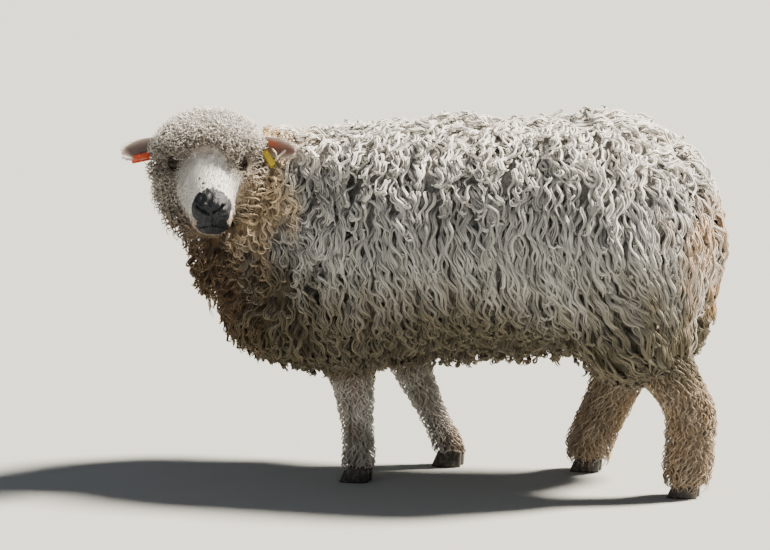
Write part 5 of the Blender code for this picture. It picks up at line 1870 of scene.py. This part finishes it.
def floor_material():
    """Painted board, rolled: pale and matt with a faint stipple."""
    made, tree, shader = new_material("painted_board_rolled", roughness=0.9)
    tone = ranged(tree, noise(tree, places_of(tree), per_metre(3.0), 2.0), 0.985, 1.015)
    colour = tuple(bpy.context.scene.sheep.floor_colour)
    finish_shader(tree, shader, scaled(tree, colour, tone))
    return made


def make_stage():
    """Floor, lights, world and camera."""
    floor = bpy.data.meshes.new("floor")
    ends = (-FLOOR_HALF, FLOOR_HALF)
    floor.from_pydata([(x, y, 0) for x in ends for y in ends], [], [(0, 2, 3, 1)])
    item = new_object("floor", floor)
    floor.materials.append(floor_material())
    middle = Vector((0.0, 0.0, 0.35))
    key = bpy.data.lights.new("key", "SUN")
    key.energy = SUN_STRENGTH
    key.angle = SUN_SOFTNESS
    key.color = linear("#fff3e2")
    fill = bpy.data.lights.new("fill", "AREA")
    fill.shape = "DISK"
    fill.size = FILL_SIZE
    fill.energy = FILL_WATTS
    fill.color = linear("#f1f4ff")
    for lamp, back in ((key, toward(SUN_TURN, SUN_RISE)), (fill, toward(FILL_TURN, FILL_RISE))):
        made = new_object(lamp.name, lamp)
        made.location = middle + back * LAMP_DISTANCE
        made.rotation_euler = back.to_track_quat("Z", "Y").to_euler()
    world = bpy.data.worlds.new("studio")
    world.use_nodes = True
    sky = world.node_tree.nodes["Background"]
    sky.inputs["Color"].default_value = linear("#e6ebf4", 1.0)
    sky.inputs["Strength"].default_value = WORLD_STRENGTH
    bpy.context.scene.world = world
    add_camera()


def toward(turn, rise):
    """The direction from the sheep to a place round it."""
    flat = math.cos(rise)
    return Vector((math.sin(turn) * flat, -math.cos(turn) * flat, math.sin(rise)))


def add_camera():
    """The photograph's view of the sheep."""
    data = bpy.data.cameras.new("camera")
    camera = new_object("camera", data)
    back = toward(VIEW_TURN, VIEW_RISE)
    right = Vector((math.cos(VIEW_TURN), math.sin(VIEW_TURN), 0.0))
    up = back.cross(right)
    across = (PICTURE_WIDTH / 2 - PIXEL_OF_MIDDLE[0]) * METRES_A_PIXEL
    above = (PIXEL_OF_MIDDLE[1] - PICTURE_HEIGHT / 2) * METRES_A_PIXEL
    aim = right * across + up * above + Vector(SHIFT)
    data.sensor_width = SENSOR_WIDTH
    data.lens = SENSOR_WIDTH * VIEW_DISTANCE / (PICTURE_WIDTH * METRES_A_PIXEL)
    camera.location = aim + back * VIEW_DISTANCE
    camera.rotation_euler = back.to_track_quat("Z", "Y").to_euler()
    bpy.context.scene.camera = camera


class Step:
    """What the steps have in common: each calls its builders in turn."""

    builders = ()

    def execute(self, context):
        for build in self.builders:
            build()
        return {"FINISHED"}


class SHEEP_OT_skin(Step, bpy.types.Operator):
    """Builds the skin with its face and lids"""

    bl_idname = "sheep.skin"
    bl_label = "Skin"
    builders = (make_skin,)


class SHEEP_OT_fleece(Step, bpy.types.Operator):
    """Builds the wavy locks of the body"""

    bl_idname = "sheep.fleece"
    bl_label = "Fleece"
    builders = (make_fleece,)


class SHEEP_OT_head_wool(Step, bpy.types.Operator):
    """Builds the curls of crown, cheeks and throat, and the face's short hair"""

    bl_idname = "sheep.head_wool"
    bl_label = "Head wool"
    builders = (make_head_wool, make_face_hair)


class SHEEP_OT_leg_wool(Step, bpy.types.Operator):
    """Builds the tufts of the legs"""

    bl_idname = "sheep.leg_wool"
    bl_label = "Leg wool"
    builders = (make_leg_wool,)


class SHEEP_OT_ears(Step, bpy.types.Operator):
    """Builds the ears and their hair"""

    bl_idname = "sheep.ears"
    bl_label = "Ears"
    builders = (make_ears,)


class SHEEP_OT_eyes(Step, bpy.types.Operator):
    """Builds the eyeballs"""

    bl_idname = "sheep.eyes"
    bl_label = "Eyes"
    builders = (make_eyes,)


class SHEEP_OT_tags(Step, bpy.types.Operator):
    """Builds the ear tags"""

    bl_idname = "sheep.tags"
    bl_label = "Ear tags"
    builders = (make_tags,)


class SHEEP_OT_hooves(Step, bpy.types.Operator):
    """Builds the cloven hooves"""

    bl_idname = "sheep.hooves"
    bl_label = "Hooves"
    builders = (make_hooves,)


class SHEEP_OT_stage(Step, bpy.types.Operator):
    """Builds floor, lights and camera"""

    bl_idname = "sheep.stage"
    bl_label = "Stage"
    builders = (make_stage,)


STEPS = (
    SHEEP_OT_skin,
    SHEEP_OT_fleece,
    SHEEP_OT_head_wool,
    SHEEP_OT_leg_wool,
    SHEEP_OT_ears,
    SHEEP_OT_eyes,
    SHEEP_OT_tags,
    SHEEP_OT_hooves,
    SHEEP_OT_stage,
)


class SHEEP_PT_panel(bpy.types.Panel):
    """The sheep's sizes, colours and steps"""

    bl_label = "Sheep"
    bl_idname = "SHEEP_PT_panel"
    bl_space_type = "VIEW_3D"
    bl_region_type = "UI"
    bl_category = "Sheep"

    def draw(self, context):
        for name in SheepSettings.__annotations__:
            self.layout.prop(context.scene.sheep, name)
        for step in STEPS:
            self.layout.operator(step.bl_idname)


CLASSES = (SheepSettings, *STEPS, SHEEP_PT_panel)


def register():
    """Adds the classes and the scene's settings."""
    for item in CLASSES:
        bpy.utils.register_class(item)
    bpy.types.Scene.sheep = bpy.props.PointerProperty(type=SheepSettings)


def unregister():
    """Takes the classes and the settings away."""
    del bpy.types.Scene.sheep
    for item in reversed(CLASSES):
        bpy.utils.unregister_class(item)


def main():
    """Builds every piece in order."""
    register()
    bpy.ops.sheep.skin()
    bpy.ops.sheep.fleece()
    bpy.ops.sheep.head_wool()
    bpy.ops.sheep.leg_wool()
    bpy.ops.sheep.ears()
    bpy.ops.sheep.eyes()
    bpy.ops.sheep.tags()
    bpy.ops.sheep.hooves()
    bpy.ops.sheep.stage()


if __name__ == "__main__":
    main()
